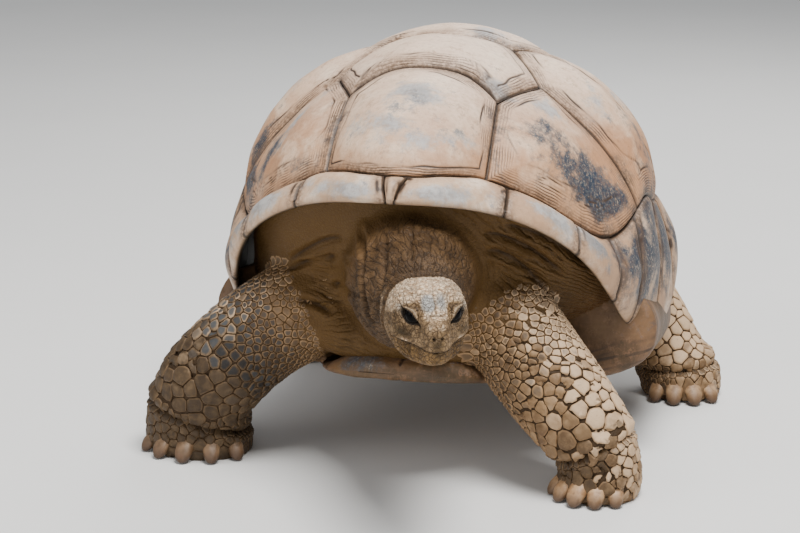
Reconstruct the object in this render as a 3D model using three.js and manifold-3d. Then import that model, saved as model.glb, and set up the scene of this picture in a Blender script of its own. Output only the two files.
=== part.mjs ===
// A life-size Aldabra giant tortoise, walking, with its head low and its left foreleg reaching out.
// Millimetres, +Z up. It faces -Y, its left side is +X, and its four soles lie on Z = 0.
//
// The shell is laid out in its own frame: its origin is under the crown, a little above the plastron.
// A direction round it is an angle from the front towards the left side, and a place on it is that
// angle and a step: 0 at the crown, 1 at the seam above the marginal
// plates and 2 at the rim. Every piece is a sphere geometry moulded into shape, so it is closed.

import * as THREE from "three";
import { mergeVertices } from "three/addons/utils/BufferGeometryUtils.js";
import Module from "manifold-3d";

const wasm = await Module();
wasm.setup();

const { PI, sin, cos, abs, min, max, hypot, atan2, asin } = Math;
const rad = THREE.MathUtils.degToRad;
const mix = THREE.MathUtils.lerp;
const V = (x, y, z) => new THREE.Vector3(x, y, z);

// ---------------------------------------------------------------- driving dimensions

const JOIN_GAP = 0.45; // between pieces that meet
const SEAM_GAP = 1.6; // between neighbouring plates
const SHELL_HEIGHT = 155; // of the shell's own origin over the floor
const CROWN_HEIGHT = 540; // over that origin
const NOSE_UP = rad(7.3); // how far the whole shell tips back

// Values round the shell, every 15 degrees from the front to the rear.
const SEAM_RADIUS = [462, 421, 396, 386, 377, 366, 358, 362, 374, 394, 424, 456, 474];
const SEAM_HEIGHT = [321, 320, 286, 234, 222, 272, 262, 266, 260, 242, 230, 220, 212];
const SEAM_STEEPNESS = [70, 71, 72, 73, 74, 77, 80, 81, 80, 78, 76, 73, 71]; // slope of the dome there
const RIM_RADIUS = [498, 478, 462, 436, 392, 370, 384, 404, 420, 446, 484, 522, 544];
const RIM_HEIGHT = [281, 276, 240, 162, 78, 46, 44, 92, 122, 130, 126, 112, 98];
const RIM_BULGE = [9, 11, 14, 20, 22, 18, 12, 16, 20, 18, 15, 12, 10];
const PLATE_THICKNESS = 24;
const RIM_THICKNESS = 13;
const SHELL_INSET = 13; // of the trunk's back under the plates

// Plate corners in plan, for the left side.
const SPINE_SEAMS = [-262, -72, 112, 284]; // Y where the seams between vertebral plates cross the middle
const SPINE_BOW = [-10, 8, -8, -14]; // how far their ends lie behind or ahead of that
const SPINE_CORNERS = [127, 112, 108, 90]; // X of their ends
const SPINE_POINTS = [[176, -150], [186, 14], [160, 190]]; // where two costal plates meet one vertebral
const COSTAL_ENDS = [19, 69.5, 99, 130, 163]; // directions in which the costal seams reach the marginals
const MARGINAL_ENDS = [2.3, 24, 41, 55.5, 67, 85, 100, 115, 129, 142.5, 156, 168.5];
const MARGINAL_SLANT = rad(2.4);
const NUCHAL_TAPER = rad(1.6);
const VERTEBRAL_RISE = [12, 15, 17, 15, 13];
const COSTAL_RISE = [14, 16, 16, 14];
const GROOVE_DEPTH = 2;

// ---------------------------------------------------------------- moulding and joining

// A closed piece: place(column, row, columns, rows) gives each point. Row 0 and the last row are poles.
function moulded(columns, rows, place) {
  const geometry = new THREE.SphereGeometry(1, columns, rows);
  const position = geometry.attributes.position;
  for (let row = 0, i = 0; row <= rows; row++) {
    for (let column = 0; column <= columns; column++, i++) {
      const pole = row === 0 || row === rows;
      const p = place(pole ? 0 : column % columns, row, columns, rows);
      position.setXYZ(i, p.x, p.y, p.z);
    }
  }
  geometry.deleteAttribute("normal");
  geometry.deleteAttribute("uv");
  return facingOut(mergeVertices(geometry, 1e-3));
}

function facingOut(geometry) {
  const position = geometry.attributes.position;
  const index = geometry.index.array;
  let volume = 0;
  const [a, b, c] = [V(), V(), V()];
  for (let i = 0; i < index.length; i += 3) {
    a.fromBufferAttribute(position, index[i]);
    b.fromBufferAttribute(position, index[i + 1]);
    c.fromBufferAttribute(position, index[i + 2]);
    volume += a.dot(b.cross(c));
  }
  if (volume < 0) {
    for (let i = 0; i < index.length; i += 3) {
      [index[i + 1], index[i + 2]] = [index[i + 2], index[i + 1]];
    }
  }
  return geometry;
}

// The same surface, with every face moved outwards by at least the gap that pieces keep.
function grown(geometry, gap = JOIN_GAP) {
  const wider = geometry.clone();
  const { position } = wider.attributes;
  const index = wider.index.array;
  const corner = (i) => V().fromBufferAttribute(position, i);
  const moves = Array.from({ length: position.count }, () => V());
  for (let pass = 0; pass < 12; pass++) {
    for (let i = 0; i < index.length; i += 3) {
      const start = corner(index[i]);
      const across = corner(index[i + 1]).sub(start).cross(corner(index[i + 2]).sub(start));
      if (across.length() < 1e-3) continue;
      const face = across.normalize();
      for (const n of [0, 1, 2]) {
        const move = moves[index[i + n]];
        move.addScaledVector(face, max(0, gap - face.dot(move)));
      }
    }
  }
  moves.forEach((move, i) => {
    const point = corner(i).add(move.clampLength(0, 4 * gap));
    position.setXYZ(i, point.x, point.y, point.z);
  });
  return wider;
}

function solidOf(geometry) {
  return new wasm.Manifold(
    new wasm.Mesh({
      numProp: 3,
      vertProperties: new Float32Array(geometry.attributes.position.array),
      triVerts: new Uint32Array(geometry.index.array),
    }),
  );
}

function geometryOf(solid) {
  const body = solid.decompose().reduce((a, b) => (a.volume() > b.volume() ? a : b));
  const mesh = body.getMesh();
  const geometry = new THREE.BufferGeometry();
  geometry.setAttribute("position", new THREE.BufferAttribute(mesh.vertProperties, 3));
  geometry.setIndex(new THREE.BufferAttribute(mesh.triVerts, 1));
  return geometry;
}

const cut = (geometry, ...tools) =>
  geometryOf(tools.reduce((solid, tool) => solid.subtract(solidOf(tool)), solidOf(geometry)));
const joined = (geometry, ...others) =>
  geometryOf(others.reduce((solid, other) => solid.add(solidOf(other)), solidOf(geometry)));

// A smooth value round the shell, from evenly spaced values between the front and the rear.
function around(values, angle) {
  const steps = values.length - 1;
  let sum = 0;
  for (let wave = 0; wave <= steps; wave++) {
    let share = 0;
    values.forEach((value, i) => {
      const end = i === 0 || i === steps ? 0.5 : 1;
      share += end * value * cos((PI * i * wave) / steps);
    });
    const outer = wave === 0 || wave === steps ? 0.5 : 1;
    sum += (2 / steps) * outer * share * cos(wave * angle);
  }
  return sum;
}

// ---------------------------------------------------------------- shell surface

function profileAt(angle, step) {
  const seamRadius = around(SEAM_RADIUS, angle);
  const seamHeight = around(SEAM_HEIGHT, angle);
  if (step <= 1) {
    const end = rad(around(SEAM_STEEPNESS, angle));
    const turn = step * end;
    return {
      radius: (seamRadius * sin(turn)) / sin(end),
      height: mix(seamHeight, CROWN_HEIGHT, (cos(turn) - cos(end)) / (1 - cos(end))),
    };
  }
  const share = step - 1;
  const [rimRadius, rimHeight] = [around(RIM_RADIUS, angle), around(RIM_HEIGHT, angle)];
  const [across, down] = [rimRadius - seamRadius, seamHeight - rimHeight];
  const bulge = (around(RIM_BULGE, angle) * sin(PI * share)) / hypot(across, down);
  return {
    radius: mix(seamRadius, rimRadius, share) + bulge * down,
    height: mix(seamHeight, rimHeight, share) + bulge * across,
  };
}

const turned = (angle, radius, height) => V(radius * sin(angle), -radius * cos(angle), height);

function shellPoint(angle, step) {
  const { radius, height } = profileAt(angle, step);
  return turned(angle, radius, height);
}

function shellNormal(angle, step) {
  const small = 0.01;
  const inner = shellPoint(angle, max(step - small, small));
  const outer = shellPoint(angle, max(step, small) + small);
  const side = shellPoint(angle + small, max(step, small)).sub(shellPoint(angle - small, max(step, small)));
  return outer.sub(inner).cross(side).normalize();
}

const onShell = (angle, step, lift) =>
  shellPoint(angle, step).addScaledVector(shellNormal(angle, step), lift);

// The dome unrolled on a disc: the crown is its centre and the seam above the marginals its edge.
const discPoint = (angle, step) => new THREE.Vector2(step * sin(angle), -step * cos(angle));
const angleOf = (point) => atan2(point.x, -point.y);

function discFromPlan(x, y) {
  const angle = atan2(x, -y);
  const end = rad(around(SEAM_STEEPNESS, angle));
  const turn = asin(min(1, (hypot(x, y) * sin(end)) / around(SEAM_RADIUS, angle)));
  return discPoint(angle, turn / end);
}

// ---------------------------------------------------------------- plates of the carapace

const EDGE_POINTS = 3; // on each side of a plate's outline

function seamTo(from, to, bow = 0) {
  const across = new THREE.Vector2(from.y - to.y, to.x - from.x);
  return Array.from({ length: EDGE_POINTS }, (_, i) => {
    const share = i / EDGE_POINTS;
    return from.clone().lerp(to, share).addScaledVector(across, bow * sin(PI * share));
  });
}

function rimTo(fromAngle, toAngle) {
  const points = 2 * EDGE_POINTS;
  return Array.from({ length: points }, (_, i) => discPoint(mix(fromAngle, toAngle, i / points), 1));
}

const mirrored = ([x, y]) => [-x, y];
const spineEnd = (i, side) => [side * SPINE_CORNERS[i], SPINE_SEAMS[i] + SPINE_BOW[i]];
const spinePoint = (i, side) => (side > 0 ? SPINE_POINTS[i] : mirrored(SPINE_POINTS[i]));
const disc = (plan) => discFromPlan(...plan);

// A seam between two vertebral plates, from one side of the animal to the other.
function spineSeam(i, fromSide) {
  const [from, to] = [disc(spineEnd(i, fromSide)), disc(spineEnd(i, -fromSide))];
  const middle = discFromPlan(0, SPINE_SEAMS[i]);
  const rise = (middle.y - (from.y + to.y) / 2) / (to.x - from.x);
  return seamTo(from, to, rise);
}

// The outlines run round each plate once, from the front left.
function vertebralOutline(i) {
  const firstAngle = rad(COSTAL_ENDS[0]);
  const lastAngle = rad(COSTAL_ENDS[4]);
  if (i === 0) {
    return [
      ...rimTo(-firstAngle, firstAngle),
      ...seamTo(discPoint(firstAngle, 1), disc(spineEnd(0, 1))),
      ...spineSeam(0, 1),
      ...seamTo(disc(spineEnd(0, -1)), discPoint(-firstAngle, 1)),
    ];
  }
  if (i === 4) {
    return [
      ...rimTo(lastAngle, 2 * PI - lastAngle),
      ...seamTo(discPoint(-lastAngle, 1), disc(spineEnd(3, -1))),
      ...spineSeam(3, -1),
      ...seamTo(disc(spineEnd(3, 1)), discPoint(lastAngle, 1)),
    ];
  }
  return [
    ...spineSeam(i - 1, -1),
    ...seamTo(disc(spineEnd(i - 1, 1)), disc(spinePoint(i - 1, 1))),
    ...seamTo(disc(spinePoint(i - 1, 1)), disc(spineEnd(i, 1))),
    ...spineSeam(i, 1),
    ...seamTo(disc(spineEnd(i, -1)), disc(spinePoint(i - 1, -1))),
    ...seamTo(disc(spinePoint(i - 1, -1)), disc(spineEnd(i - 1, -1))),
  ];
}

function costalOutline(i, side) {
  const [from, to] = [side * rad(COSTAL_ENDS[i]), side * rad(COSTAL_ENDS[i + 1])];
  const inner = [];
  if (i < 3) inner.push(disc(spinePoint(i, side)));
  inner.push(disc(spineEnd(i, side)));
  if (i > 0) inner.push(disc(spinePoint(i - 1, side)));
  const corners = [discPoint(to, 1), ...inner, discPoint(from, 1)];
  const seams = corners.slice(1).flatMap((corner, n) => seamTo(corners[n], corner));
  return [...rimTo(from, to), ...seams];
}

// How high a plate stands over the dome: share is 0 at its middle and 1 at its seam.
const plateRise = (rise, share) => rise * (1 - share ** 2) - GROOVE_DEPTH * share ** 12;
const RISE_RINGS = [1, 0.84, 0.48];

function dorsalPlate(outline, rise) {
  const middle = outline.reduce((sum, p) => sum.add(p), new THREE.Vector2()).divideScalar(outline.length);
  const rows = RISE_RINGS.length + 2;
  const place = (column, row) => {
    const share = row < 2 ? min(row, 1) : (RISE_RINGS[row - 2] ?? 0);
    const point = middle.clone().lerp(outline[column], share);
    const [angle, step] = [angleOf(point), point.length()];
    const lift = row < 2 ? -PLATE_THICKNESS : plateRise(rise, share);
    const surface = onShell(angle, step, lift);
    const inwards = onShell(angleOf(middle), middle.length(), lift).sub(surface);
    return share < 1 ? surface : surface.addScaledVector(inwards.normalize(), SEAM_GAP / 2);
  };
  return moulded(outline.length, rows, place);
}

// One marginal plate: its profile runs down the outside, round the rim and back up the inside.
const RIM_PROFILE = [
  [0, 0], [0.35, 0], [0.7, 0], [0.94, 0.08], [1, 0.5], [0.94, 1], [0.5, 1], [0, 1],
];

function marginalPlate(from, to, fromSlant, toSlant) {
  const steps = max(2, Math.round(abs(to - from) / rad(8)));
  const rows = steps + 2;
  const inset = (Math.sign(to - from) * SEAM_GAP) / 2 / 420;
  const place = (column, row) => {
    const pole = row === 0 || row === rows;
    const [drop, depth] = pole ? [0.5, 0.5] : RIM_PROFILE[column];
    const share = min(max(row - 1, 0), steps) / steps;
    const angle = mix(from + inset - drop * fromSlant, to - inset - drop * toSlant, share);
    const step = 1.004 + 0.996 * drop;
    const thickness = mix(PLATE_THICKNESS, RIM_THICKNESS, drop);
    const swell = 5 * sin(PI * share) * sin(PI * drop);
    return onShell(angle, step, depth === 0 ? swell : -depth * thickness);
  };
  return moulded(RIM_PROFILE.length, rows, place);
}

// ---------------------------------------------------------------- trunk and plastron

// Under the carapace the trunk fills the dome. Below the seam it follows three more rings.
const UNDER_RIM = { radius: [438, 426, 362, 350, 356, 396, 456], height: [290, 262, 176, 170, 180, 172, 156] };
const FLANK = { radius: [380, 368, 354, 352, 330, 352, 412], height: [204, 160, 112, 88, 104, 112, 112] };
const BELLY_EDGE = { radius: [332, 276, 240, 318, 244, 268, 362], height: [36, 24, 14, 22, 12, 16, 26] };
const BELLY_FLOOR = -10;

function trunkGeometry() {
  const dome = [0, 0.26, 0.52, 0.76, 0.97];
  const below = [UNDER_RIM, FLANK, BELLY_EDGE];
  const rows = dome.length + below.length + 1;
  return moulded(24, rows, (column, row, columns) => {
    const angle = (column / columns) * 2 * PI;
    if (row < dome.length) return onShell(angle, dome[row], -SHELL_INSET);
    if (row === rows) return V(0, 0, BELLY_FLOOR);
    if (row === rows - 1) return turned(angle, 0.55 * around(BELLY_EDGE.radius, angle), BELLY_FLOOR);
    const ring = below[row - dome.length];
    return turned(angle, around(ring.radius, angle), around(ring.height, angle));
  });
}

// The plastron: a broad plate with a lobe ahead and behind, and a bridge up to the marginals each side.
const PLASTRON = {
  bottom: -34,
  front: -386,
  rear: 428,
  frontLobe: 176,
  rearLobe: 164,
  bridge: 388,
  bridgeFrom: -140,
  bridgeTo: 100,
  bridgeRound: 56,
  bridgeSeam: 47, // how high the bridge is broadest
  bridgeTop: 128, // how high it reaches behind the marginals
  frontRise: 16,
  rearRise: 12,
  edge: 20,
  rows: [-383, -360, -300, -194, -166, -142, 98, 128, 152, 280, 424],
};

function plastronHalfWidth(y) {
  const p = PLASTRON;
  const lobe = y < 0 ? p.frontLobe : p.rearLobe;
  const tip = y < 0 ? p.front : p.rear;
  const rounding = (1 - min(1, abs(y / tip)) ** 5) ** 0.5;
  const onBridge =
    THREE.MathUtils.smoothstep(y, p.bridgeFrom - p.bridgeRound, p.bridgeFrom) *
    (1 - THREE.MathUtils.smoothstep(y, p.bridgeTo, p.bridgeTo + p.bridgeRound));
  return { half: mix(lobe * rounding, p.bridge, onBridge), onBridge };
}

function plastronGeometry() {
  const across = [-1, -0.96, -0.84, 0.84, 0.96, 1];
  const columns = 2 * across.length;
  const p = PLASTRON;
  const rows = p.rows.length + 1;
  const place = (column, row) => {
    const y = p.rows[min(max(row - 1, 0), rows - 2)];
    const { half, onBridge } = plastronHalfWidth(y);
    const under = column < across.length;
    const side = under ? across[column] : across[2 * across.length - 1 - column];
    const endLift =
      p.frontRise * max(0, (y + 200) / (p.front + 200)) ** 2 +
      p.rearRise * max(0, (y - 200) / (p.rear - 200)) ** 2;
    const rounding = 0.5 * p.edge * (1 - (1 - abs(side) ** 8) ** 0.5);
    // The bridge rounds up to its seam from below, and from there on up behind the marginals.
    const roundedBy = (start) => 1 - (1 - max(0, (abs(side) - start) / (1 - start)) ** 2) ** 0.5;
    const bulge = (p.bridgeSeam - 4 - p.bottom) * roundedBy(0.7);
    const shoulder = p.bridgeTop - (p.bridgeTop - p.bridgeSeam - 4) * roundedBy(0.8);
    const bottom = p.bottom + endLift + mix(rounding, bulge, onBridge);
    const top = mix(p.bottom + endLift + p.edge - rounding, shoulder, onBridge);
    if (row === 0 || row === rows) return V(0, row === 0 ? p.front : p.rear, p.bottom + endLift + p.edge / 2);
    return V(side * half, y, under ? bottom : top);
  };
  return moulded(columns, rows, place);
}

// ---------------------------------------------------------------- limbs, neck and tail

// A rounded length along a path: a is its half breadth along `broad`, b its half depth.
function lengthAlong(stations, broad, columns, rows, sole = false) {
  const path = new THREE.CatmullRomCurve3(stations.map((s) => V(...s.at)));
  const girth = new THREE.CatmullRomCurve3(stations.map((s) => V(s.a, s.b, 0)));
  return moulded(columns, rows, (column, row) => {
    const share = min(max((row - 1) / (rows - 2), 0), 1);
    const centre = path.getPoint(share);
    const along = path.getTangent(share);
    const sideways = broad.clone().addScaledVector(along, -broad.dot(along)).normalize();
    const depth = along.clone().cross(sideways);
    const { x: a, y: b } = girth.getPoint(share);
    const turn = (column / columns) * 2 * PI;
    if (row > 0 && row < rows) {
      centre.addScaledVector(sideways, a * cos(turn)).addScaledVector(depth, b * sin(turn));
    }
    if (sole && share > 0.999) centre.z = 0;
    centre.z = sole ? max(centre.z, 0) : centre.z;
    return centre;
  });
}

// A blunt nail: it starts in the foot, runs outwards and down, and ends on the floor.
const NAIL = { sunk: 30, reach: 25, halfWidth: 17, rootHeight: 38, thickness: 30, tip: 4 };

function nail(edge, direction, size) {
  const out = V(sin(direction), -cos(direction), 0);
  const across = V(cos(direction), sin(direction), 0);
  const lengths = [0, 0.4, 0.75, 0.96, 1];
  const rows = lengths.length - 1;
  return moulded(6, rows, (column, row, columns) => {
    const share = lengths[row];
    const turn = (column / columns) * 2 * PI;
    const girth = row === 0 || row === rows ? 0 : size * (1 - 0.38 * share ** 2.4);
    const point = edge.clone().addScaledVector(out, mix(-NAIL.sunk, NAIL.reach, share) * size);
    point.addScaledVector(across, girth * NAIL.halfWidth * cos(turn));
    point.z = size * mix(NAIL.rootHeight, NAIL.tip + 4, share ** 1.4);
    point.z = max(0, point.z + 0.5 * girth * NAIL.thickness * sin(turn));
    return point;
  });
}

// The feet: where each leg runs, which way its toes point, and how many nails it has.
const LEGS = {
  foreleg_right: {
    stations: [
      { at: [-140, -225, 276], a: 84, b: 86 },
      { at: [-192, -250, 262], a: 88, b: 88 },
      { at: [-256, -268, 226], a: 87, b: 86 },
      { at: [-313, -276, 177], a: 86, b: 84 },
      { at: [-360, -274, 124], a: 86, b: 80 },
      { at: [-384, -264, 74], a: 88, b: 74 },
      { at: [-386, -257, 34], a: 94, b: 78 },
      { at: [-382, -255, 0], a: 90, b: 76 },
    ],
    toes: -4,
    spread: 29,
    nails: 5,
  },
  foreleg_left: {
    stations: [
      { at: [112, -226, 300], a: 84, b: 84 },
      { at: [150, -268, 270], a: 85, b: 84 },
      { at: [208, -302, 207], a: 85, b: 82 },
      { at: [260, -324, 152], a: 82, b: 78 },
      { at: [302, -335, 104], a: 75, b: 70 },
      { at: [322, -336, 62], a: 69, b: 64 },
      { at: [324, -332, 26], a: 67, b: 72 },
      { at: [322, -328, 0], a: 63, b: 70 },
    ],
    toes: -20,
    spread: 27,
    nails: 5,
  },
  hindleg_right: {
    stations: [
      { at: [-130, 230, 240], a: 84, b: 92 },
      { at: [-200, 286, 222], a: 86, b: 92 },
      { at: [-250, 334, 172], a: 80, b: 86 },
      { at: [-280, 360, 112], a: 72, b: 76 },
      { at: [-292, 364, 60], a: 68, b: 72 },
      { at: [-298, 360, 28], a: 76, b: 76 },
      { at: [-298, 356, 0], a: 74, b: 74 },
    ],
    toes: -14,
    spread: 27,
    nails: 4,
  },
  hindleg_left: {
    stations: [
      { at: [140, 210, 250], a: 84, b: 92 },
      { at: [224, 246, 232], a: 84, b: 92 },
      { at: [290, 266, 180], a: 78, b: 84 },
      { at: [336, 268, 122], a: 72, b: 74 },
      { at: [368, 260, 72], a: 68, b: 68 },
      { at: [392, 252, 32], a: 76, b: 74 },
      { at: [396, 248, 0], a: 73, b: 72 },
    ],
    toes: 10,
    spread: 27,
    nails: 4,
  },
};

function legGeometry({ stations, toes, spread, nails }, ...taken) {
  const heading = rad(toes);
  const leg = lengthAlong(stations, V(cos(heading), sin(heading), 0), 12, 11, true);
  const sole = stations.at(-1);
  const claws = Array.from({ length: nails }, (_, i) => {
    const place = i - (nails - 1) / 2;
    const turn = rad(place * spread);
    const edge = V(sole.a * sin(turn), -sole.b * cos(turn), 0).applyAxisAngle(V(0, 0, 1), heading);
    return nail(edge.add(V(...sole.at)), heading + turn * 0.6, 1 - 0.08 * abs(place));
  });
  return cut(joined(leg, ...claws), ...taken);
}

const NECK = [
  { at: [6, -300, 352], a: 106, b: 98 },
  { at: [14, -390, 356], a: 100, b: 98 },
  { at: [38, -470, 356], a: 92, b: 92 },
  { at: [68, -546, 366], a: 74, b: 74 },
  { at: [90, -610, 380], a: 50, b: 50 },
];
const TAIL = [
  { at: [0, 360, 178], a: 66, b: 58 },
  { at: [4, 416, 158], a: 58, b: 50 },
  { at: [18, 462, 124], a: 42, b: 37 },
  { at: [36, 484, 86], a: 26, b: 23 },
  { at: [52, 488, 58], a: 12, b: 10 },
];

// ---------------------------------------------------------------- head

const HEAD = { at: V(105, -650, 378), yaw: rad(23), down: rad(9) };
// From the back of the head to the tip of the beak: distance ahead, half width, top, underside.
const HEAD_SECTIONS = [
  [-86, 42, 28, -42],
  [-64, 54, 40, -56],
  [-32, 58, 47, -64],
  [0, 58, 50, -66],
  [18, 56, 49, -65],
  [32, 46.5, 44, -64],
  [44, 35.5, 36, -62],
  [58, 26, 24, -58],
  [70, 21, 12, -51],
  [78, 15, 0, -43],
  [82, 8, -10, -35],
];
const EYE = { radius: 16, ahead: 33, aside: 26, up: 15 };
const MOUTH = { ahead: 8, up: -22, front: -21 }; // where its corner and its front lie

function headGeometry() {
  const path = new THREE.CatmullRomCurve3(HEAD_SECTIONS.map(([ahead, , top, under]) => V(0, -ahead, (top + under) / 2)));
  const girth = new THREE.CatmullRomCurve3(HEAD_SECTIONS.map(([, half, top, under]) => V(half, (top - under) / 2, 0)));
  const rows = 12;
  return moulded(16, rows, (column, row, columns) => {
    const share = min(max((row - 1) / (rows - 2), 0), 1);
    const centre = path.getPoint(share);
    const { x: half, y: tall } = girth.getPoint(share);
    const turn = (column / columns) * 2 * PI;
    if (row === 0 || row === rows) return centre;
    const square = turn < PI ? 0.74 : 0.68; // squarer than an ellipse, and more so below
    centre.x = half * Math.sign(cos(turn)) * abs(cos(turn)) ** square;
    centre.z += tall * Math.sign(sin(turn)) * abs(sin(turn)) ** square;
    return centre;
  });
}

// What lies under the mouth: everything ahead of its corner and below its line.
function jawTool(gap) {
  const [wide, deep] = [90, 90];
  return moulded(4, 3, (column, row) => {
    const ahead = row < 2 ? MOUTH.ahead - 40 : 120;
    const line = row < 2 ? MOUTH.up + 12 : MOUTH.front - 12;
    const corner = [[-1, 0], [1, 0], [1, -1], [-1, -1]][column];
    if (row === 0 || row === 3) return V(0, -ahead, line - deep / 2 + gap);
    return V(corner[0] * (wide + gap), -ahead + (row < 2 ? gap : -gap), line + gap + corner[1] * (deep + gap));
  });
}

const eyeBall = (side, radius) =>
  moulded(9, 6, (column, row, columns, rows) => {
    const [turn, tilt] = [(column / columns) * 2 * PI, (row / rows) * PI];
    return V(
      side * EYE.aside + radius * sin(tilt) * cos(turn),
      -EYE.ahead + radius * sin(tilt) * sin(turn),
      EYE.up + radius * cos(tilt),
    );
  });

// ---------------------------------------------------------------- materials

const finish = (color, roughness) => new THREE.MeshStandardMaterial({ color, roughness, metalness: 0 });
const MATERIALS = {
  plate: finish(0x8f7563, 0.7),
  rim: finish(0x9a8271, 0.7),
  plastron: finish(0x8a7148, 0.65),
  skin: finish(0x6f5f4b, 0.85),
  face: finish(0x8c7a60, 0.75),
  eye: finish(0x15110d, 0.1),
};

// ---------------------------------------------------------------- the whole animal

const animal = new THREE.Group();
const shell = new THREE.Group();
shell.position.set(0, 0, SHELL_HEIGHT);
shell.rotation.x = -NOSE_UP;
const head = new THREE.Group();
head.position.copy(HEAD.at);
head.rotation.set(HEAD.down, 0, HEAD.yaw, "ZYX");
animal.add(shell, head);

function add(group, name, geometry, material) {
  geometry.computeVertexNormals();
  const mesh = new THREE.Mesh(geometry, material);
  mesh.name = name;
  group.add(mesh);
}

const inAnimal = (group, geometry) => {
  group.updateMatrix();
  return geometry.clone().applyMatrix4(group.matrix);
};

const trunk = trunkGeometry();
add(shell, "trunk", trunk, MATERIALS.skin);
const shellPlaced = [grown(trunk)];

// Each plate is trimmed by what lies under and beside it already.
function addToShell(name, geometry, material) {
  add(shell, name, cut(geometry, ...shellPlaced), material);
  shellPlaced.push(grown(geometry));
}

for (let i = 0; i < 5; i++) {
  addToShell(`vertebral_${i + 1}`, dorsalPlate(vertebralOutline(i), VERTEBRAL_RISE[i]), MATERIALS.plate);
}
for (const [word, side] of [["left", 1], ["right", -1]]) {
  for (let i = 0; i < 4; i++) {
    addToShell(`costal_${word}_${i + 1}`, dorsalPlate(costalOutline(i, side), COSTAL_RISE[i]), MATERIALS.plate);
  }
  for (let i = 0; i < 11; i++) {
    const [from, to] = [rad(MARGINAL_ENDS[i]) * side, rad(MARGINAL_ENDS[i + 1]) * side];
    const fromSlant = side * (i === 0 ? NUCHAL_TAPER : MARGINAL_SLANT);
    const toSlant = side * (i === 10 ? -MARGINAL_SLANT : MARGINAL_SLANT);
    addToShell(`marginal_${word}_${i + 1}`, marginalPlate(from, to, fromSlant, toSlant), MATERIALS.rim);
  }
}
const [nuchalEnd, tailEnd] = [rad(MARGINAL_ENDS[0]), rad(MARGINAL_ENDS[11])];
addToShell("nuchal", marginalPlate(-nuchalEnd, nuchalEnd, -NUCHAL_TAPER, NUCHAL_TAPER), MATERIALS.rim);
const supracaudal = marginalPlate(tailEnd, 2 * PI - tailEnd, -MARGINAL_SLANT, MARGINAL_SLANT);
addToShell("supracaudal", supracaudal, MATERIALS.rim);
addToShell("plastron", plastronGeometry(), MATERIALS.plastron);

const wholeHead = headGeometry();
const eyeRooms = [1, -1].map((side) => eyeBall(side, EYE.radius + JOIN_GAP));
const skull = cut(wholeHead, jawTool(JOIN_GAP / 2), ...eyeRooms);
add(head, "head", skull, MATERIALS.face);
const jaw = geometryOf(solidOf(wholeHead).intersect(solidOf(jawTool(-JOIN_GAP / 2))));
add(head, "lower_jaw", jaw, MATERIALS.face);
add(head, "eye_left", eyeBall(1, EYE.radius), MATERIALS.eye);
add(head, "eye_right", eyeBall(-1, EYE.radius), MATERIALS.eye);

const shellTaken = shellPlaced.map((piece) => inAnimal(shell, piece));
const headTaken = inAnimal(head, grown(wholeHead));
const neck = lengthAlong(NECK, V(1, 0, 0), 12, 7);
add(animal, "neck", cut(neck, ...shellTaken, headTaken), MATERIALS.skin);
for (const [name, leg] of Object.entries(LEGS)) {
  add(animal, name, legGeometry(leg, ...shellTaken, grown(neck)), MATERIALS.skin);
}
const tail = lengthAlong(TAIL, V(1, 0, 0), 9, 7);
add(animal, "tail", cut(tail, ...shellTaken), MATERIALS.skin);

// The origin of the whole is on the floor, under the middle of its outline.
const middle = new THREE.Box3().setFromObject(animal, true).getCenter(V());
animal.position.set(-middle.x, -middle.y, 0);

export default animal;
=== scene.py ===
"""A life-size Aldabra giant tortoise, walking, with its head low and its left foreleg reaching out.

The shell's plates, the skin, the scales, claws and eyes are made round the solid frame. Metres, +Z up.
The animal faces -Y and its left side is +X. The shell is laid out in a frame of its own: its origin is
under the crown, and a place on it is an angle from the front towards the left side, and a step: 0 at the
crown, 1 at the seam above the marginal plates and 2 at the rim.
"""

import math

import bmesh
import bpy
import numpy as np
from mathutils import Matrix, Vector
from mathutils.bvhtree import BVHTree


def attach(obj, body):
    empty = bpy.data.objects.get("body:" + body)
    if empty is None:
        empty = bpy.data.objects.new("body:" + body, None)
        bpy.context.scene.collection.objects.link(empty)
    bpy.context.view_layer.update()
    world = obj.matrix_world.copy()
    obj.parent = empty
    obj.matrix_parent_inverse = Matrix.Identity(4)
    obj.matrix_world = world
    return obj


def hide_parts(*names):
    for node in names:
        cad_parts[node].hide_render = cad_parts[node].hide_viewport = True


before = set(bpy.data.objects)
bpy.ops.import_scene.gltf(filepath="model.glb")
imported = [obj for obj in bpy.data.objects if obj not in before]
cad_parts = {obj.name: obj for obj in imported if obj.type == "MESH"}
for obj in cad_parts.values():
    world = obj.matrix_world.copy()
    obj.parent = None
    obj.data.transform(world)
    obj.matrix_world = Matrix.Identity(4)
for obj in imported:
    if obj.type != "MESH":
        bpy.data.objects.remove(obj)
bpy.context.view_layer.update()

MM = 0.001

# ---------------------------------------------------------------- sizes shared with the solids

MIDDLE = np.array([4.32, 88.73, 0.0]) * MM  # the point under the crown
SHELL_HEIGHT = 155 * MM
CROWN_HEIGHT = 540 * MM
NOSE_UP = math.radians(7.3)

# Values round the shell, every 15 degrees from the front to the rear.
SEAM_RADIUS = np.array([462, 421, 396, 386, 377, 366, 358, 362, 374, 394, 424, 456, 474]) * MM
SEAM_HEIGHT = np.array([321, 320, 286, 234, 222, 272, 262, 266, 260, 242, 230, 220, 212]) * MM
SEAM_STEEPNESS = np.radians([70, 71, 72, 73, 74, 77, 80, 81, 80, 78, 76, 73, 71])
RIM_RADIUS = np.array([498, 478, 462, 436, 392, 370, 384, 404, 420, 446, 484, 522, 544]) * MM
RIM_HEIGHT = np.array([281, 276, 240, 162, 78, 46, 44, 92, 122, 130, 126, 112, 98]) * MM
RIM_BULGE = np.array([9, 11, 14, 20, 22, 18, 12, 16, 20, 18, 15, 12, 10]) * MM
SEAM_GAP = 1.3 * MM

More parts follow.
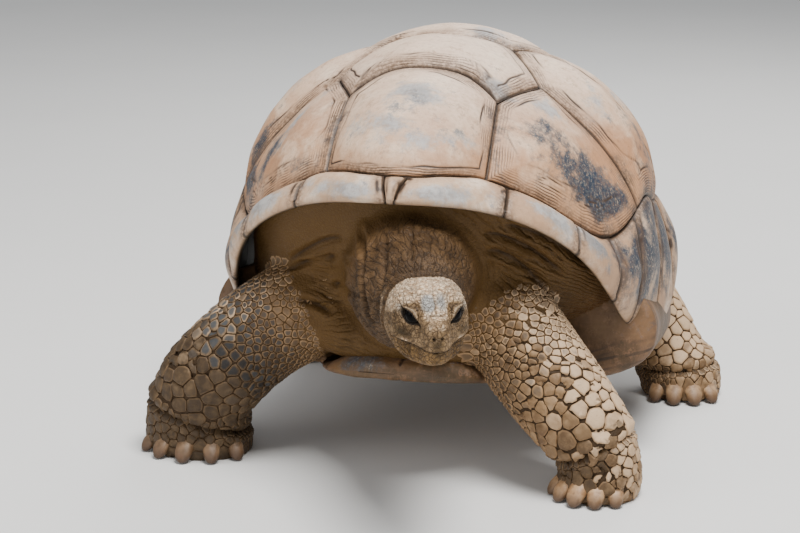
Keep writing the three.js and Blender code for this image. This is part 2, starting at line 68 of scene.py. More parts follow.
SPINE_SEAMS = np.array([-262, -72, 112, 284]) * MM
SPINE_BOW = np.array([-10, 8, -8, -14]) * MM
SPINE_CORNERS = np.array([127, 112, 108, 90]) * MM
SPINE_POINTS = np.array([[176, -150], [186, 14], [160, 190]]) * MM
COSTAL_ENDS = np.radians([19, 69.5, 99, 130, 163])
MARGINAL_ENDS = np.radians([2.3, 24, 41, 55.5, 67, 85, 100, 115, 129, 142.5, 156, 168.5])
MARGINAL_SLANT = math.radians(2.4)
NUCHAL_TAPER = math.radians(1.6)
VERTEBRAL_RISE = np.array([12, 15, 17, 15, 13]) * MM
COSTAL_RISE = np.array([14, 16, 16, 14]) * MM

UNDER_RIM = np.array([[438, 426, 362, 350, 356, 396, 456], [290, 262, 176, 170, 180, 172, 156]]) * MM
FLANK = np.array([[380, 368, 354, 352, 330, 352, 412], [204, 160, 112, 88, 104, 112, 112]]) * MM
BELLY_EDGE = np.array([[332, 276, 240, 318, 244, 268, 362], [36, 24, 14, 22, 12, 16, 26]]) * MM
BELLY_FLOOR = -10 * MM

HEAD_AT = np.array([105, -650, 378]) * MM + MIDDLE
HEAD_YAW = math.radians(23)
HEAD_DOWN = math.radians(9)


# ---------------------------------------------------------------- small tools

def smoothstep(low, high, value):
    share = np.clip((value - low) / (high - low), 0, 1)
    return share * share * (3 - 2 * share)


def mix(a, b, share):
    return a + (b - a) * share


def hill(distance, width):
    """1 at no distance, falling smoothly to nothing at about twice the width."""
    return np.exp(-((distance / width) ** 2))


def zigzag(phase):
    """1 wherever the phase is a whole number, and 0 half way between."""
    return np.abs(np.mod(phase, 1) - 0.5) * 2


def unit(vectors):
    return vectors / np.maximum(np.linalg.norm(vectors, axis=-1, keepdims=True), 1e-12)


def waves(points, size, seed, count=14):
    """A gentle uneven value between about -1 and 1, which changes over the given size."""
    draw = np.random.default_rng(seed)
    directions = unit(draw.normal(size=(count, 3))) * (2 * np.pi / size) * draw.uniform(0.6, 1.5, (count, 1))
    phases = draw.uniform(0, 2 * np.pi, count)
    return np.cos(points @ directions.T + phases).sum(axis=-1) / math.sqrt(2 * count)


def places(piece):
    co = np.empty(len(piece.data.vertices) * 3, np.float64)
    piece.data.vertices.foreach_get("co", co)
    return co.reshape(-1, 3)


def set_places(piece, points):
    piece.data.vertices.foreach_set("co", np.ascontiguousarray(points, np.float32).ravel())
    piece.data.update()


def normals(piece):
    found = np.empty(len(piece.data.vertices) * 3, np.float32)
    piece.data.vertices.foreach_get("normal", found)
    return found.reshape(-1, 3).astype(np.float64)


def set_value(piece, name, values):
    attribute = piece.data.attributes.get(name) or piece.data.attributes.new(name, "FLOAT", "POINT")
    attribute.data.foreach_set("value", np.ascontiguousarray(values, np.float32))


def set_values(piece, found):
    for name, values in found.items():
        set_value(piece, name, values)


def deselect_all():
    bpy.ops.object.select_all(action="DESELECT")


def pick(piece):
    deselect_all()
    piece.select_set(True)
    bpy.context.view_layer.objects.active = piece


def apply_modifier(piece, kind, **settings):
    pick(piece)
    modifier = piece.modifiers.new(kind.lower(), kind)
    for name, value in settings.items():
        setattr(modifier, name, value)
    bpy.ops.object.modifier_apply(modifier=modifier.name)


def shade_smooth(piece):
    pick(piece)
    bpy.ops.object.shade_smooth()


def face_out(piece):
    pick(piece)
    bpy.ops.object.mode_set(mode="EDIT")
    bpy.ops.mesh.select_all(action="SELECT")
    bpy.ops.mesh.normals_make_consistent(inside=False)
    bpy.ops.object.mode_set(mode="OBJECT")


def moulded(name, columns, rows, place):
    """A ball moulded into shape: place(column, row) gives each point. Row 0 and the last row are poles."""
    deselect_all()
    bpy.ops.mesh.primitive_uv_sphere_add(segments=columns, ring_count=rows, radius=1)
    piece = bpy.context.object
    piece.name = piece.data.name = f"{name}_shape"
    ball = places(piece)
    turn = np.arctan2(ball[:, 1], ball[:, 0]) / (2 * np.pi)
    row = np.rint(np.arccos(np.clip(ball[:, 2], -1, 1)) / np.pi * rows).astype(int)
    column = np.rint(turn * columns).astype(int) % columns
    column[(row == 0) | (row == rows)] = 0
    set_places(piece, place(column, row))
    face_out(piece)
    shade_smooth(piece)
    return piece, column, row


def from_middle(points):
    """x, y and z in mm from the ground under the crown."""
    return np.moveaxis((points - MIDDLE) / MM, -1, 0)


def ground_axes(direction):
    """The way that a toe points on the ground, and the way across it. 0 points forwards."""
    out = np.array([math.sin(direction), -math.cos(direction), 0])
    across = np.array([math.cos(direction), math.sin(direction), 0])
    return out, across


# ---------------------------------------------------------------- shell surface

def around(values, angle):
    """A smooth value round the shell, from evenly spaced values between the front and the rear."""
    steps = len(values) - 1
    ends = np.ones(steps + 1)
    ends[[0, -1]] = 0.5
    numbers = np.arange(steps + 1)
    shares = 2 / steps * ends * (np.cos(np.pi * np.outer(numbers, numbers) / steps) @ (ends * values))
    return np.cos(np.multiply.outer(angle, numbers)) @ shares


def turned(angle, radius, height):
    """A place from its angle, its distance from the crown's axis and its height."""
    return np.stack([radius * np.sin(angle), -radius * np.cos(angle), height], axis=-1)


def shell_point(angle, step):
    """The smooth surface that the plates are laid on, in the shell's own frame."""
    seam_radius, seam_height = around(SEAM_RADIUS, angle), around(SEAM_HEIGHT, angle)
    end = around(SEAM_STEEPNESS, angle)
    turn = np.minimum(step, 1) * end
    dome_radius = seam_radius * np.sin(turn) / np.sin(end)
    dome_height = mix(seam_height, CROWN_HEIGHT, (np.cos(turn) - np.cos(end)) / (1 - np.cos(end)))
    share = np.maximum(step - 1, 0)
    across = around(RIM_RADIUS, angle) - seam_radius
    down = seam_height - around(RIM_HEIGHT, angle)
    bulge = around(RIM_BULGE, angle) * np.sin(np.pi * share) / np.hypot(across, down)
    radius = np.where(step <= 1, dome_radius, seam_radius + share * across + bulge * down)
    height = np.where(step <= 1, dome_height, seam_height - share * down + bulge * across)
    return turned(angle, radius, height)


def on_shell(angle, step, lift):
    """The same surface, lifted along its normal."""
    small = 0.01
    inner = shell_point(angle, np.maximum(step - small, small))
    outer = shell_point(angle, np.maximum(step, small) + small)
    ahead = shell_point(angle + small, np.maximum(step, small))
    behind = shell_point(angle - small, np.maximum(step, small))
    outwards = unit(np.cross(outer - inner, ahead - behind))
    return shell_point(angle, step) + outwards * np.asarray(lift)[..., None]


def in_frame(points):
    """From the shell's own frame to the part's."""
    x, y, z = np.moveaxis(points, -1, 0)
    lifted = SHELL_HEIGHT + z * math.cos(NOSE_UP) - y * math.sin(NOSE_UP)
    return np.stack([x, y * math.cos(NOSE_UP) + z * math.sin(NOSE_UP), lifted], axis=-1) + MIDDLE


def disc_point(angle, step):
    """The dome unrolled on a disc: the crown is its centre and the seam above the marginals its edge."""
    return np.stack([step * np.sin(angle), -step * np.cos(angle)], axis=-1)


def disc_from_plan(x, y):
    angle = np.arctan2(x, -y)
    end = around(SEAM_STEEPNESS, angle)
    turn = np.arcsin(np.minimum(1, np.hypot(x, y) * np.sin(end) / around(SEAM_RADIUS, angle)))
    return disc_point(angle, turn / end)


# ---------------------------------------------------------------- outlines of the plates

def seam_to(start, end, bow=0.0, points=24):
    share = np.arange(points)[:, None] / points
    across = np.array([start[1] - end[1], end[0] - start[0]])
    return mix(start, end, share) + across * bow * np.sin(np.pi * share)


def rim_to(start, end, points=48):
    return disc_point(mix(start, end, np.arange(points) / points), 1.0)


def spine_end(i, side):
    return disc_from_plan(side * SPINE_CORNERS[i], SPINE_SEAMS[i] + SPINE_BOW[i])


def spine_point(i, side):
    return disc_from_plan(side * SPINE_POINTS[i][0], SPINE_POINTS[i][1])


def spine_seam(i, side):
    """The bowed seam between a vertebral plate and the next, from one side to the other."""
    start, end = spine_end(i, side), spine_end(i, -side)
    middle = disc_from_plan(1e-9, SPINE_SEAMS[i])
    return seam_to(start, end, (middle[1] - (start[1] + end[1]) / 2) / (end[0] - start[0]))


def vertebral_outline(i):
    first, last = COSTAL_ENDS[0], COSTAL_ENDS[4]
    if i == 0:
        return [
            rim_to(-first, first),
            seam_to(disc_point(first, 1), spine_end(0, 1)),
            spine_seam(0, 1),
            seam_to(spine_end(0, -1), disc_point(-first, 1)),
        ]
    if i == 4:
        return [
            rim_to(last, 2 * np.pi - last),
            seam_to(disc_point(-last, 1), spine_end(3, -1)),
            spine_seam(3, -1),
            seam_to(spine_end(3, 1), disc_point(last, 1)),
        ]
    return [
        spine_seam(i - 1, -1),
        seam_to(spine_end(i - 1, 1), spine_point(i - 1, 1)),
        seam_to(spine_point(i - 1, 1), spine_end(i, 1)),
        spine_seam(i, 1),
        seam_to(spine_end(i, -1), spine_point(i - 1, -1)),
        seam_to(spine_point(i - 1, -1), spine_end(i - 1, -1)),
    ]


def costal_outline(i, side):
    start, end = side * COSTAL_ENDS[i], side * COSTAL_ENDS[i + 1]
    corners = [disc_point(end, 1)]
    if i < 3:
        corners.append(spine_point(i, side))
    corners.append(spine_end(i, side))
    if i > 0:
        corners.append(spine_point(i - 1, side))
    corners.append(disc_point(start, 1))
    return [rim_to(start, end)] + [seam_to(a, b) for a, b in zip(corners, corners[1:])]


def evenly(outline, count):
    """The same closed outline with evenly spaced points."""
    line = np.vstack(outline + [outline[0][:1]])
    lengths = np.linalg.norm(np.diff(line, axis=0), axis=1)
    along = np.concatenate([[0], np.cumsum(lengths)])
    wanted = np.arange(count) / count * along[-1]
    return np.stack([np.interp(wanted, along, line[:, n]) for n in (0, 1)], axis=-1)


# ---------------------------------------------------------------- plates of the carapace

PLATE_COLUMNS = 168
PLATE_RINGS = np.concatenate([np.linspace(1, 0.7, 42), np.linspace(0.685, 0.0, 28)])
UNDERSIDE = [(0.0, -12), (0.5, -12), (0.9, -12), (0.99, -12), (1.0, -10), (1.0, -5)]  # share and lift in mm
DISC_SIZE = 0.47  # how long the disc's radius is on the shell
SEAM_REACH = 60 * MM  # how far from a seam the horn's material still tells the distance
SEAM_DIP, SEAM_DIP_WIDTH = 3.4 * MM, 7 * MM  # how far the horn falls towards a seam, and over what breadth
GROWTH_STEP = 4.4 * MM  # from one growth line to the next
# Dark worn patches: direction round the shell, step, half sizes and strength. Then the blue-grey ones.
SLATE = np.array([
    (38, 0.75, 8, 0.07, 1.0), (43, 0.80, 9, 0.08, 1.1), (50, 0.87, 12, 0.075, 1.15),
    (58, 0.91, 9, 0.07, 1.1), (50, 0.93, 8, 0.05, 0.7), (21.5, 0.8, 3.2, 0.17, 0.7),
    (-21.5, 0.8, 3.2, 0.17, 0.6), (34, 0.78, 8, 0.05, 0.3), (-52, 0.80, 7, 0.1, 0.7),
    (-62, 0.90, 8, 0.1, 1.0), (-68, 0.84, 4, 0.12, 0.8), (-28, 0.92, 9, 0.04, 0.3),
    (84, 0.8, 9, 0.14, 0.65), (-84, 0.82, 9, 0.12, 0.65), (114, 0.82, 12, 0.12, 0.6),
    (-116, 0.8, 12, 0.13, 0.6), (148, 0.8, 11, 0.12, 0.55), (-144, 0.82, 11, 0.12, 0.55),
    (180, 0.84, 15, 0.1, 0.5), (46, 1.5, 6, 0.3, 0.5), (56, 1.42, 6, 0.38, 1.1),
    (66, 1.42, 7, 0.46, 1.15), (76, 1.4, 7, 0.46, 1.15), (90, 1.35, 9, 0.42, 1.2),
    (108, 1.5, 10, 0.34, 0.8), (128, 1.5, 10, 0.34, 0.7), (150, 1.5, 10, 0.34, 0.7),
    (172, 1.5, 9, 0.34, 0.7), (-46, 1.5, 6, 0.3, 0.4), (-58, 1.45, 8, 0.34, 0.8),
    (-74, 1.4, 9, 0.38, 1.0), (-92, 1.4, 9, 0.34, 0.9), (-112, 1.5, 10, 0.34, 0.8),
    (-134, 1.5, 10, 0.34, 0.7), (-158, 1.5, 10, 0.34, 0.7), (0, 0.7, 6, 0.07, 0.6),
    (8, 0.83, 12, 0.03, 0.35),
])
BLUE = np.array([
    (10, 1.72, 9, 0.24, 0.9), (20, 1.6, 4, 0.2, 0.6), (-10, 1.72, 9, 0.24, 0.9),
    (-19, 1.6, 4, 0.22, 0.7), (32, 1.62, 7, 0.3, 0.9), (-32, 1.62, 7, 0.3, 0.9), (43, 1.5, 8, 0.3, 0.9),
    (-43, 1.5, 8, 0.3, 0.9), (0, 0.67, 8, 0.09, 1.0), (-6, 0.8, 14, 0.06, 0.6),
    (8, 0.86, 16, 0.05, 0.6), (26, 0.58, 9, 0.06, 0.8), (42, 0.61, 8, 0.06, 0.9),
    (-36, 0.6, 9, 0.1, 0.4), (-45, 0.72, 7, 0.1, 0.6), (60, 0.12, 60, 0.12, 0.6), (0, 1.4, 3, 0.3, 0.4),
    (70, 0.6, 8, 0.08, 0.5), (-75, 0.6, 8, 0.08, 0.5), (110, 0.6, 10, 0.08, 0.5),
    (-105, 0.6, 10, 0.08, 0.5), (170, 0.55, 20, 0.08, 0.5), (200, 0.7, 12, 0.08, 0.5),
])


def patches(spots, angle, step):
    """How strongly the patches of a table show at each place, from 0 to 1."""
    found = np.zeros(len(angle))
    for at, down, wide, tall, strength in spots:
        turn = np.mod(np.degrees(angle) - at + 180, 360) - 180
        found = np.maximum(found, strength * hill(np.hypot(turn / wide, (step - down) / tall), 1.0))
    return np.clip(found * (1 + 0.45 * waves(shell_point(angle, step), 0.08, 7)), 0, 1)


def markings(angle, step, groove, away):
    """What the horn's material reads: growth lines, how near a seam is, and worn patches."""
    slate, blue = patches(SLATE, angle, step), patches(BLUE, angle, step)
    return {"groove": groove, "away": away / SEAM_REACH, "slate": slate, "blue": blue}


def seam_distance(point, outline):
    """How far each place on the disc is from a plate's outline."""
    gap = np.full(len(point), 9.0)
    for start, end in zip(outline, np.roll(outline, -1, axis=0)):
        step = end - start
        share = np.clip((point - start) @ step / (step @ step), 0, 1)
        gap = np.minimum(gap, np.linalg.norm(point - start - share[:, None] * step, axis=1))
    return gap


def seam_dip(away):
    """How far the horn falls beside a seam."""
    return SEAM_DIP * smoothstep(SEAM_DIP_WIDTH, 0, away) ** 2


def growth(points, away, band, seed):
    """How deep the lines are that yearly growth leaves beside the seams, from 0 to 1."""
    phase = away / GROWTH_STEP + 0.55 * waves(points, 0.12, seed) + 0.2 * waves(points, 0.03, seed + 1)
    ridge = zigzag(phase)
    uneven = np.clip(0.5 + 0.7 * waves(points, 0.06, seed + 2), 0.1, 1)
    edge = hill(away - band + 3 * MM * waves(points, 0.06, seed + 3), 1.6 * MM)
    edge = edge * np.clip(waves(points, 0.09, seed + 4) + 0.5, 0, 1)
    lines = smoothstep(0.55, 1.0, ridge) * uneven * smoothstep(1.12, 0.8, away / band)
    return np.clip(np.maximum(lines, edge), 0, 1)


def dorsal_plate(name, outline, rise, band, low_band, seed):
    """A vertebral or costal plate: its outline on the disc, drawn in ring by ring to its middle."""
    edge = evenly(outline, PLATE_COLUMNS)
    middle = edge.mean(axis=0)
    under_share = np.array([share for share, _ in UNDERSIDE])
    under_lift = np.array([lift for _, lift in UNDERSIDE]) * MM
    shares = np.concatenate([under_share, PLATE_RINGS])
    rows = len(shares) - 1
    kept = {}

    def place(column, row):
        share = shares[row]
        point = mix(middle, edge[column], share[:, None])
        angle, step = np.arctan2(point[:, 0], -point[:, 1]), np.hypot(point[:, 0], point[:, 1])
        surface = shell_point(angle, step)
        away = seam_distance(point, edge) * DISC_SIZE
        groove = growth(surface, away, mix(band, low_band, smoothstep(0.78, 0.9, step)), seed)
        lift = rise * (1 - share ** 2) - 2 * MM * share ** 12
        lift -= seam_dip(away)
        lift += 1.3 * MM * waves(surface, 0.09, seed + 5) * smoothstep(0, 0.03, away)
        lift -= 1.3 * MM * groove
        lift = np.where(row < len(UNDERSIDE), under_lift[np.minimum(row, len(UNDERSIDE) - 1)], lift)
        laid = on_shell(angle, step, lift)
        inwards = unit(shell_point(*polar(middle)) - laid) * SEAM_GAP / 2
        kept.update(markings(angle, step, groove, away))
        return in_frame(laid + inwards * smoothstep(0.93, 1, share)[:, None])

    piece, _, row = moulded(name, PLATE_COLUMNS, rows, place)
    set_values(piece, kept)
    # painted shade: the plate's underside is marked for a dark colour
    set_value(piece, "inside", (row < 4).astype(float))
    return piece


def polar(point):
    """The angle and the step of one place on the disc."""
    return np.array([math.atan2(point[0], -point[1])]), np.array([math.hypot(point[0], point[1])])


RIM_PLATE_THICKNESS = 14 * MM
RIM_PLATE_TOP = 13 * MM
LIP_START = 0.9


def rim_profile():
    """Round a marginal plate's section: how far down it each point is, and how deep in the plate."""
    bend = np.linspace(0, np.pi, 9)[1:-1]
    drop = np.concatenate([np.linspace(0, LIP_START, 22), LIP_START + (1 - LIP_START) * np.sin(bend)])
    drop = np.concatenate([drop, np.linspace(LIP_START, 0, 12)])
    depth = np.concatenate([np.zeros(22), (1 - np.cos(bend)) / 2, np.ones(12)])
    return drop, depth


def marginal_plate(name, start, end, start_slant, end_slant, seed):
    """A plate of the rim: its section, carried round the shell from one seam to the next."""
    drops, depths = rim_profile()
    steps = max(8, round(abs(end - start) / math.radians(0.6)))
    rows = steps + 2
    inset = math.copysign(SEAM_GAP / 2 / 0.42, end - start)
    kept = {}

    def place(column, row):
        pole = (row == 0) | (row == rows)
        drop = np.where(pole, 0.5, drops[column])
        depth = np.where(pole, 0.5, depths[column])
        share = np.clip(row - 1, 0, steps) / steps
        angle = mix(start + inset - drop * start_slant, end - inset - drop * end_slant, share)
        thickness = mix(RIM_PLATE_TOP, RIM_PLATE_THICKNESS, drop)
        step = 1.004 + 0.996 * drop
        surface = shell_point(angle, step)
        sideways = np.minimum(share, 1 - share) * abs(end - start) * np.hypot(surface[:, 0], surface[:, 1])
        away = np.minimum(sideways, drop * np.hypot(0.1, around(RIM_HEIGHT, angle) - surface[:, 2]) * 1.6)
        band = np.where(np.abs(angle) > 1.1, 14 * MM, 9 * MM)
        groove = growth(surface, away, band, seed + 3) * (depth < 0.5) * smoothstep(0.85, 0.6, drop)
        lift = 5 * MM * np.sin(np.pi * share) * np.sin(np.pi * drop)
        lift += 1.2 * MM * waves(surface, 0.07, seed)
        lift -= 1.1 * MM * groove + seam_dip(away)
        kept.update(markings(angle, step, groove, away))
        return in_frame(on_shell(angle, step, np.where(depth < 0.02, lift, -depth * thickness)))

    piece, column, _ = moulded(name, len(drops), rows, place)
    set_values(piece, kept)
    # painted shade: the rim's inner face is marked for a dark colour
    set_value(piece, "inside", smoothstep(0.15, 0.7, depths[column]))
    return piece


def make_carapace():
    plates = []
    for i in range(5):
        name = f"vertebral_{i + 1}"
        outline = vertebral_outline(i)
        plates.append(dorsal_plate(name, outline, VERTEBRAL_RISE[i], 26 * MM, 17 * MM, 10 * i))
    for word, side in (("left", 1), ("right", -1)):
        for i in range(4):
            name = f"costal_{word}_{i + 1}"
            outline = costal_outline(i, side)
            plates.append(dorsal_plate(name, outline, COSTAL_RISE[i], 22 * MM, 50 * MM, 70 + 10 * i + side))
        for i in range(11):
            start, end = side * MARGINAL_ENDS[i], side * MARGINAL_ENDS[i + 1]
            start_slant = side * (NUCHAL_TAPER if i == 0 else MARGINAL_SLANT)
            end_slant = side * (-MARGINAL_SLANT if i == 10 else MARGINAL_SLANT)
            name = f"marginal_{word}_{i + 1}"
            plates.append(marginal_plate(name, start, end, start_slant, end_slant, 200 + 10 * i + side))
    front, tail = MARGINAL_ENDS[0], MARGINAL_ENDS[11]
    plates.append(marginal_plate("nuchal", -front, front, -NUCHAL_TAPER, NUCHAL_TAPER, 400))
    rear = 2 * np.pi - tail
    plates.append(marginal_plate("supracaudal", tail, rear, -MARGINAL_SLANT, MARGINAL_SLANT, 420))
    return plates


# ---------------------------------------------------------------- lengths of flesh

def smooth_path(stations, share):
    """A smooth line through the stations, which are evenly spaced in share from 0 to 1."""
    last = len(stations) - 1
    padded = np.vstack([2 * stations[0] - stations[1], stations, 2 * stations[-1] - stations[-2]])
    place = np.clip(share, 0, 1) * last
    i = np.minimum(place.astype(int), last - 1)
    t = (place - i)[..., None]
    a, b, c, d = (padded[i + n] for n in range(4))
    bend, twist = 2 * a - 5 * b + 4 * c - d, 3 * b - a - 3 * c + d
    return 0.5 * (2 * b + (c - a) * t + bend * t ** 2 + twist * t ** 3)


class Length:
    """A rounded length along a path. Each station is x, y, z, half breadth and half depth in mm."""

    def __init__(self, stations, heading=0.0, sole=False):
        self.stations = np.array(stations, float) * MM
        self.stations[:, :3] += MIDDLE
        self.broad = np.array([math.cos(heading), math.sin(heading), 0.0])
        self.sole = sole

    def axes(self, share):
        centre = smooth_path(self.stations, share)
        along = unit(smooth_path(self.stations, share + 0.004)[..., :3]
                     - smooth_path(self.stations, share - 0.004)[..., :3])
        ahead = np.broadcast_to(self.broad, along.shape)
        sideways = unit(ahead - along * (along * ahead).sum(axis=-1, keepdims=True))
        return centre, along, sideways, np.cross(along, sideways)

    def point(self, turn, share, swell=0.0):
        centre, _, sideways, depth = self.axes(share)
        breadth = (centre[..., 3] + swell) * np.cos(turn)
        deep = (centre[..., 4] + swell) * np.sin(turn)
        found = centre[..., :3] + sideways * breadth[..., None] + depth * deep[..., None]
        if self.sole:
            found[..., 2] = np.maximum(np.where(share > 0.999, 0, found[..., 2]), 0)
        return found

    def shape(self, name, columns, rows, swell=0.0):
        def place(column, row):
            share = np.clip((row - 1) / (rows - 2), 0, 1)
            ends = (row == 0) | (row == rows)
            found = self.point(column / columns * 2 * np.pi, share, swell)
            centre = smooth_path(self.stations, share)[:, :3]
            if self.sole:
                centre[share > 0.999, 2] = 0
            return np.where(ends[:, None], centre, found)

        return moulded(name, columns, rows, place)[0]


LEGS = {
    "foreleg_right": {
        "stations": [
            (-140, -225, 276, 84, 86), (-192, -250, 262, 88, 88), (-256, -268, 226, 87, 86),
            (-313, -276, 177, 86, 84), (-360, -274, 124, 86, 80), (-384, -264, 74, 88, 74),
            (-386, -257, 34, 94, 78), (-382, -255, 0, 90, 76),
        ],
        "toes": -4, "spread": 29, "nails": 5,
    },
    "foreleg_left": {
        "stations": [
            (112, -226, 300, 84, 84), (150, -268, 270, 85, 84), (208, -302, 207, 85, 82),
            (260, -324, 152, 82, 78), (302, -335, 104, 75, 70), (322, -336, 62, 69, 64),
            (324, -332, 26, 67, 72), (322, -328, 0, 63, 70),
        ],
        "toes": -20, "spread": 27, "nails": 5,
    },
    "hindleg_right": {
        "stations": [
            (-130, 230, 240, 84, 92), (-200, 286, 222, 86, 92), (-250, 334, 172, 80, 86),
            (-280, 360, 112, 72, 76), (-292, 364, 60, 68, 72), (-298, 360, 28, 76, 76),
            (-298, 356, 0, 74, 74),
        ],
        "toes": -14, "spread": 27, "nails": 4,
    },
    "hindleg_left": {
        "stations": [
            (140, 210, 250, 84, 92), (224, 246, 232, 84, 92), (290, 266, 180, 78, 84),
            (336, 268, 122, 72, 74), (368, 260, 72, 68, 68), (392, 252, 32, 76, 74),
            (396, 248, 0, 73, 72),
        ],
        "toes": 10, "spread": 27, "nails": 4,
    },
}
NECK = Length([
    (6, -300, 352, 106, 98), (14, -390, 356, 100, 98), (38, -470, 356, 92, 92),
    (68, -546, 366, 74, 74), (90, -610, 380, 50, 50),
])
NECK_ROOT = Length([
    (8, -290, 368, 120, 120), (14, -345, 366, 112, 113), (26, -410, 362, 102, 104), (38, -470, 356, 91, 93),
])
CHEST = Length([
    (-150, -262, 240, 58, 44), (-60, -294, 236, 70, 48), (30, -298, 236, 72, 48), (120, -280, 240, 64, 46),
], heading=math.pi / 2)
TAIL = Length([
    (0, 360, 178, 66, 58), (4, 416, 158, 58, 50), (18, 462, 124, 42, 37),
    (36, 484, 86, 26, 23), (52, 488, 58, 12, 10),
])
LEG_SHAPES = {
    name: Length(leg["stations"], math.radians(leg["toes"]), sole=True) for name, leg in LEGS.items()
}


TRUNK_COLUMNS, TRUNK_ROWS_BELOW = 96, 22
DOME_EDGE = 0.97  # the step at which the trunk leaves the plates
PLATE_DEPTH = 14 * MM  # how far under the shell's surface the trunk lies


def make_trunk():
    """The body inside the shell, which closes the skin behind the neck and the legs."""
    dome = np.linspace(0, DOME_EDGE, 22)
    under = np.stack([UNDER_RIM, FLANK, BELLY_EDGE])
    rows = len(dome) + TRUNK_ROWS_BELOW

    def place(column, row):
        angle = column / TRUNK_COLUMNS * 2 * np.pi
        sunk = np.full(len(row), -PLATE_DEPTH)
        on_dome = on_shell(angle, dome[np.minimum(row, len(dome) - 1)], sunk)
        seam = on_shell(angle, np.full(len(row), DOME_EDGE), sunk)
        seam_radius, seam_height = np.hypot(seam[:, 0], seam[:, 1]), seam[:, 2]
        rings = [np.stack([seam_radius, seam_height], axis=-1)]
        for radius, height in under:
            rings.append(np.stack([around(radius, angle), around(height, angle)], axis=-1))
        rings.append(np.stack([0.55 * around(BELLY_EDGE[0], angle), np.full(len(row), BELLY_FLOOR)], axis=-1))
        rings.append(np.stack([np.zeros(len(row)), np.full(len(row), BELLY_FLOOR)], axis=-1))
        rings = np.stack(rings)
        share = np.clip((row - len(dome) + 1) / TRUNK_ROWS_BELOW, 0, 1) * (len(rings) - 1)
        i = np.minimum(share.astype(int), len(rings) - 2)
        n = np.arange(len(row))
        radius, height = mix(rings[i, n], rings[i + 1, n], (share - i)[:, None]).T
        below = turned(angle, radius, height)
        return in_frame(np.where((row < len(dome))[:, None], on_dome, below))

    return moulded("trunk", TRUNK_COLUMNS, rows, place)[0]


# ---------------------------------------------------------------- head

# From the back of the head to the tip of the beak: distance ahead, half width, top, underside, in mm.
HEAD_SECTIONS = np.array([
    (-86, 42, 28, -42), (-64, 54, 40, -56), (-32, 58, 47, -64), (0, 58, 50, -66), (18, 56, 49, -65),
    (32, 46.5, 44, -64), (44, 35.5, 36, -62), (58, 26, 24, -58), (70, 21, 12, -51), (78, 15, 0, -43),
    (82, 8, -10, -35),
], float)


def head_to_frame(points):
    """From aside, ahead and up in mm, in the head's own frame, to the part's frame."""
    aside, ahead, up = np.moveaxis(points, -1, 0) * MM
    y = -ahead * math.cos(HEAD_DOWN) - up * math.sin(HEAD_DOWN)
    z = -ahead * math.sin(HEAD_DOWN) + up * math.cos(HEAD_DOWN)
    x = aside * math.cos(HEAD_YAW) - y * math.sin(HEAD_YAW)
    y = aside * math.sin(HEAD_YAW) + y * math.cos(HEAD_YAW)
    return np.stack([x, y, z], axis=-1) + HEAD_AT


def frame_to_head(points):
    x, y, z = np.moveaxis(points - HEAD_AT, -1, 0) / MM
    aside = x * math.cos(HEAD_YAW) + y * math.sin(HEAD_YAW)
    back = y * math.cos(HEAD_YAW) - x * math.sin(HEAD_YAW)
    ahead = -back * math.cos(HEAD_DOWN) - z * math.sin(HEAD_DOWN)
    up = z * math.cos(HEAD_DOWN) - back * math.sin(HEAD_DOWN)
    return np.stack([aside, ahead, up], axis=-1)


def make_head_block():
    """A plain head, onto which the skin is drawn before its forms are moulded."""
    rows, columns = 48, 56

    def place(column, row):
        share = np.clip((row - 1) / (rows - 2), 0, 1)
        ahead, half, top, under = smooth_path(HEAD_SECTIONS, share).T
        turn = column / columns * 2 * np.pi
        square = np.where(np.sin(turn) >= 0, 0.74, 0.68)
        aside = half * np.sign(np.cos(turn)) * np.abs(np.cos(turn)) ** square
        tall = (top - under) / 2 * np.sign(np.sin(turn)) * np.abs(np.sin(turn)) ** square
        ends = (row == 0) | (row == rows)
        aside, tall = np.where(ends, 0, aside), np.where(ends, 0, tall)
        return head_to_frame(np.stack([aside, ahead, (top + under) / 2 + tall], axis=-1))

    return moulded("head", columns, rows, place)[0]


# ---------------------------------------------------------------- plastron

PLASTRON_FRONT, PLASTRON_REAR = -386 * MM, 428 * MM
PLASTRON_BOTTOM = -34 * MM
LOBES = 176 * MM, 164 * MM
BRIDGE_HALF = 388 * MM
BRIDGE_FROM, BRIDGE_TO, BRIDGE_ROUND = -140 * MM, 100 * MM, 56 * MM
BRIDGE_SEAM, BRIDGE_TOP = 47 * MM, 128 * MM
PLASTRON_SEAMS = np.array([-318, -236, -128, 118, 250, 352]) * MM  # across it, from the front
PLASTRON_THICK, PLASTRON_ROUND = 20 * MM, 10 * MM
FRONT_LIFT, REAR_LIFT = 16 * MM, 12 * MM  # how far its ends rise
PLASTRON_LIP = 26 * MM  # the height of the raised front edge
PLASTRON_COLUMNS, PLASTRON_ROWS = 81, 150  # the columns on each of its two faces


def plastron_half(y):
    """Half the plastron's breadth at each y, and how far each y is on the bridge."""
    lobe = np.where(y < 0, LOBES[0], LOBES[1])
    tip = np.where(y < 0, PLASTRON_FRONT, PLASTRON_REAR)
    rounding = np.sqrt(1 - np.minimum(1, np.abs(y / tip)) ** 5)
    on_bridge = smoothstep(BRIDGE_FROM - BRIDGE_ROUND, BRIDGE_FROM, y)
    on_bridge = on_bridge * (1 - smoothstep(BRIDGE_TO, BRIDGE_TO + BRIDGE_ROUND, y))
    return mix(lobe * rounding, BRIDGE_HALF, on_bridge), on_bridge


def rounded_by(side, start):
    """A quarter of a circle, from 0 at the given start to 1 at the plastron's edge."""
    return 1 - np.sqrt(1 - np.maximum(0, (np.abs(side) - start) / (1 - start)) ** 2)


